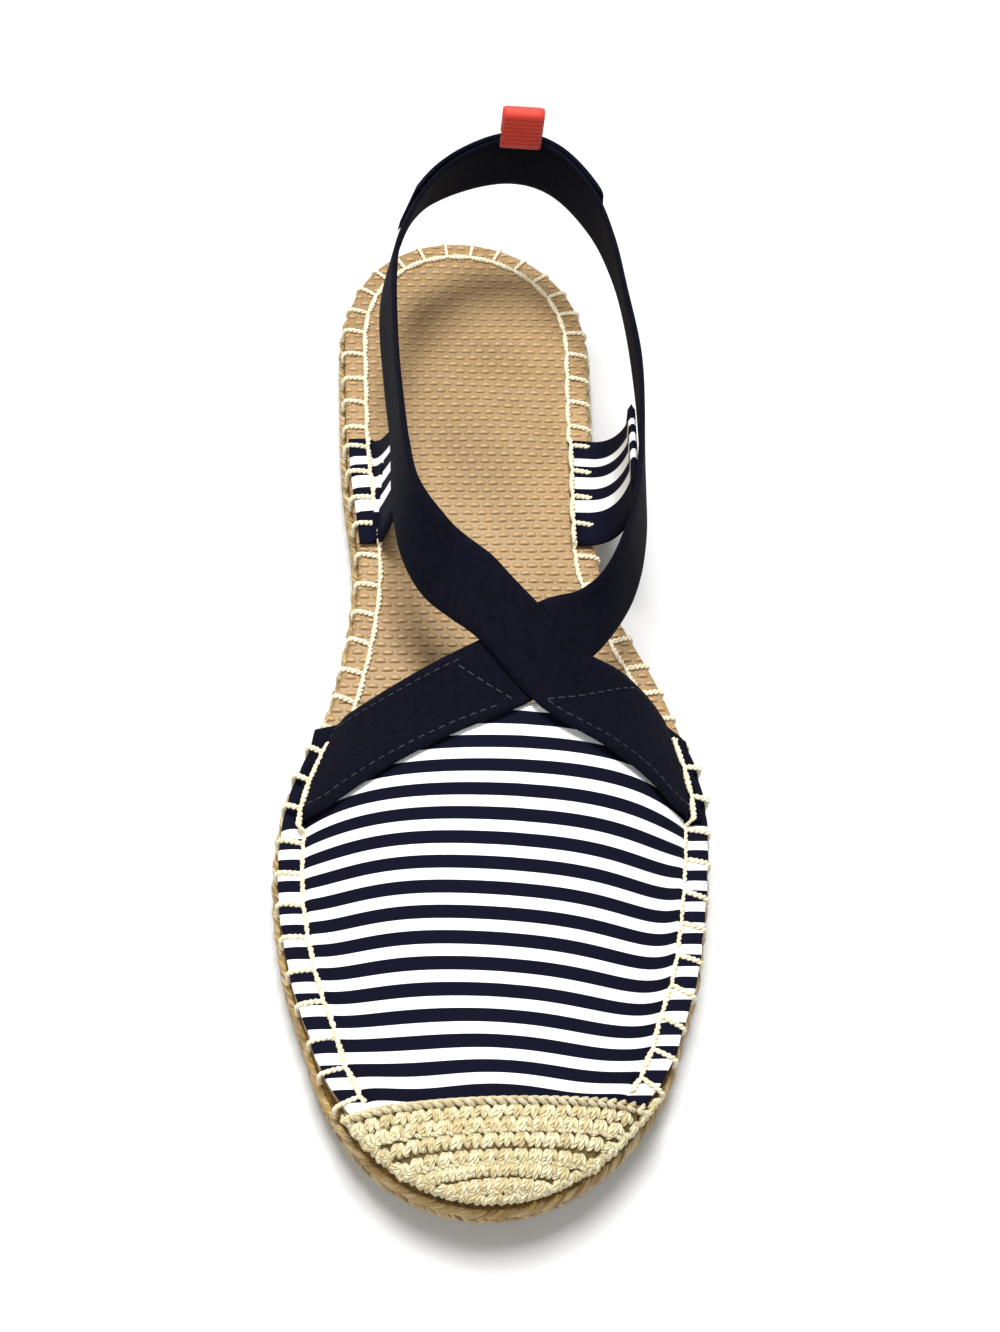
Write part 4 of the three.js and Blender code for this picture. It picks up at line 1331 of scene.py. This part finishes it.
def over_edge(turn, sway, start_angle):
    """Path of one ply of a stitch, twisted, from the line over the edge and down the side."""
    level = edge_level(turn)
    inset, start = line_place(turn)
    stations = [(0.2 - inset, start + 0.3), (-0.7 * inset, mix(start, level, 0.4) + 0.5), (-0.4 * inset, level + 0.5),
                (-0.9, level + 0.4),
                (-0.05, level), (0.45, level - 0.9), (0.5, mix(level, side_fall, 0.6)), (0.5, side_fall + 0.4),
                (0.2, side_fall - 0.3)]
    points, walked = [], 0
    for k in range(len(stations) - 1):
        (out, z), (next_out, next_z) = stations[k], stations[k + 1]
        length = math.hypot(next_out - out, next_z - z)
        steps = max(1, round(length / 0.45))
        for j in range(steps):
            part = (k + j / steps) / (len(stations) - 1)
            angle = start_angle + 2 * math.pi * (walked + length * j / steps) / stitch_twist
            lift = stitch_spread * math.sin(angle)
            beside = stitch_spread * math.cos(angle) + sway * math.sin(math.pi * part) + 0.25 * part
            here_out = mix(out, next_out, j / steps) - lift * (next_z - z) / length
            point = outline_point(turn + beside * 2 / girth, here_out)
            point.z = mix(z, next_z, j / steps) + lift * (next_out - out) / length + spring_at(point.y)
            points.append(point)
        walked += length
    return points


stitch_count = round(girth / stitch_pitch)
chance = random.Random(5)
stitch_paths, line_paths = [], [[], []]
stitch_turns = []
for k in range(stitch_count):
    turn = turn_of(girth * (k + 0.5) / stitch_count)
    if cap_from + 0.004 < turn < cap_to - 0.004:
        continue
    stitch_turns.append(turn)
    sway = chance.uniform(0.1, 0.7)
    stitch_paths += [over_edge(turn, sway, 0), over_edge(turn, sway, math.pi)]

line_turns = [cap_to + (2 + cap_from - cap_to) * k / 1800 for k in range(1801)]
twist_pitch = 2.4
for turn in line_turns:
    length = length_at(turn)
    phase = 2 * math.pi * length / twist_pitch
    fullness = abs(math.sin(math.pi * (length * stitch_count / girth - 0.5))) ** 0.6
    spread = 0.1 + 0.26 * fullness
    inset, level = line_place(turn)
    for strand_side, line in zip((0, math.pi), line_paths):
        point = outline_point(turn, -inset - 0.25 * fullness + spread * math.cos(phase + strand_side))
        point.z = level + spring_at(point.y) + 0.3 + 0.12 * fullness + spread * math.sin(phase + strand_side)
        line.append((*point, 0.6 + 0.4 * fullness))
edge_stitches = thread_curve("edge_stitches", stitch_paths, thread_radius)
edge_line = thread_curve("edge_line", line_paths, 0.42)

# Waxed linen thread: cream, slightly glossy, thin enough that only its tone varies
thread, shader = new_material("waxed linen thread")
place = node(thread, "TexCoord").outputs["Object"]
shade = node(thread, "TexNoise", [("Vector", place)], Scale=1100, Detail=3)
tint = ramp(thread, shade.outputs["Fac"], [(0.3, "#CFC29C"), (0.5, "#E4DABC"), (0.75, "#F2EDDA")])
link(thread, tint.outputs["Color"], shader, "Base Color")
shader.inputs["Roughness"].default_value = 0.6
bumped(thread, shader, shade.outputs["Fac"], 0.0003, 0.8)
dress(edge_stitches, thread, "footbed")
dress(edge_line, thread, "footbed")


# Floor, light and camera
# A plain white studio: a pale floor, one wide soft light from above, a fill light from the front,
# and an even white world. The camera stands where the photograph was taken from.

bpy.ops.object.select_all(action="DESELECT")
bpy.ops.mesh.primitive_plane_add(size=12)
floor = bpy.context.object
floor.name = "floor"
paper, shader = new_material("white paper floor")
shader.inputs["Base Color"].default_value = colour("#CFCFCF")
shader.inputs["Roughness"].default_value = 0.9
floor.data.materials.append(paper)

world = bpy.data.worlds.new("studio")
bpy.context.scene.world = world
world.use_nodes = True
world.node_tree.nodes["Background"].inputs["Color"].default_value = (1, 1, 1, 1)
world.node_tree.nodes["Background"].inputs["Strength"].default_value = 0.38


def soft_light(name, position, size, power):
    bpy.ops.object.light_add(type="AREA", location=position)
    light = bpy.context.object
    light.name = name
    light.data.size = size
    light.data.energy = power
    light.rotation_euler = (-Vector(position)).to_track_quat("-Z", "Y").to_euler()


soft_light("key", (-0.08, 0.3, 1.32), 0.42, 26.5)
soft_light("front_fill", (-0.5, -0.9, 1.1), 1.0, 5.5)
bpy.context.scene.view_settings.view_transform = "Standard"

camera_azimuth, camera_elevation, camera_roll = -11.6598, 59.6834, 9.9881
camera_place = Vector((-38.8442, -210.5747, 376.4726))
focal_pixels, photo_height, sensor = 1800, 1332, 36
az, el, roll = (math.radians(a) for a in (camera_azimuth, camera_elevation, camera_roll))
back = Vector((math.sin(az) * math.cos(el), -math.cos(az) * math.cos(el), math.sin(el)))
level_right = (-back).cross(Vector((0, 0, 1))).normalized()
level_up = level_right.cross(-back)
right = level_right * math.cos(roll) + level_up * math.sin(roll)
up = level_up * math.cos(roll) - level_right * math.sin(roll)
camera_data = bpy.data.cameras.new("camera")
camera_data.sensor_width = sensor
camera_data.lens = focal_pixels / photo_height * sensor
camera_data.clip_start = 0.01
camera = bpy.data.objects.new("camera", camera_data)
bpy.context.scene.collection.objects.link(camera)
turning = Matrix((right, up, back)).transposed().to_4x4()
camera.matrix_world = Matrix.Translation(in_frame(camera_place)) @ turning
bpy.context.scene.camera = camera
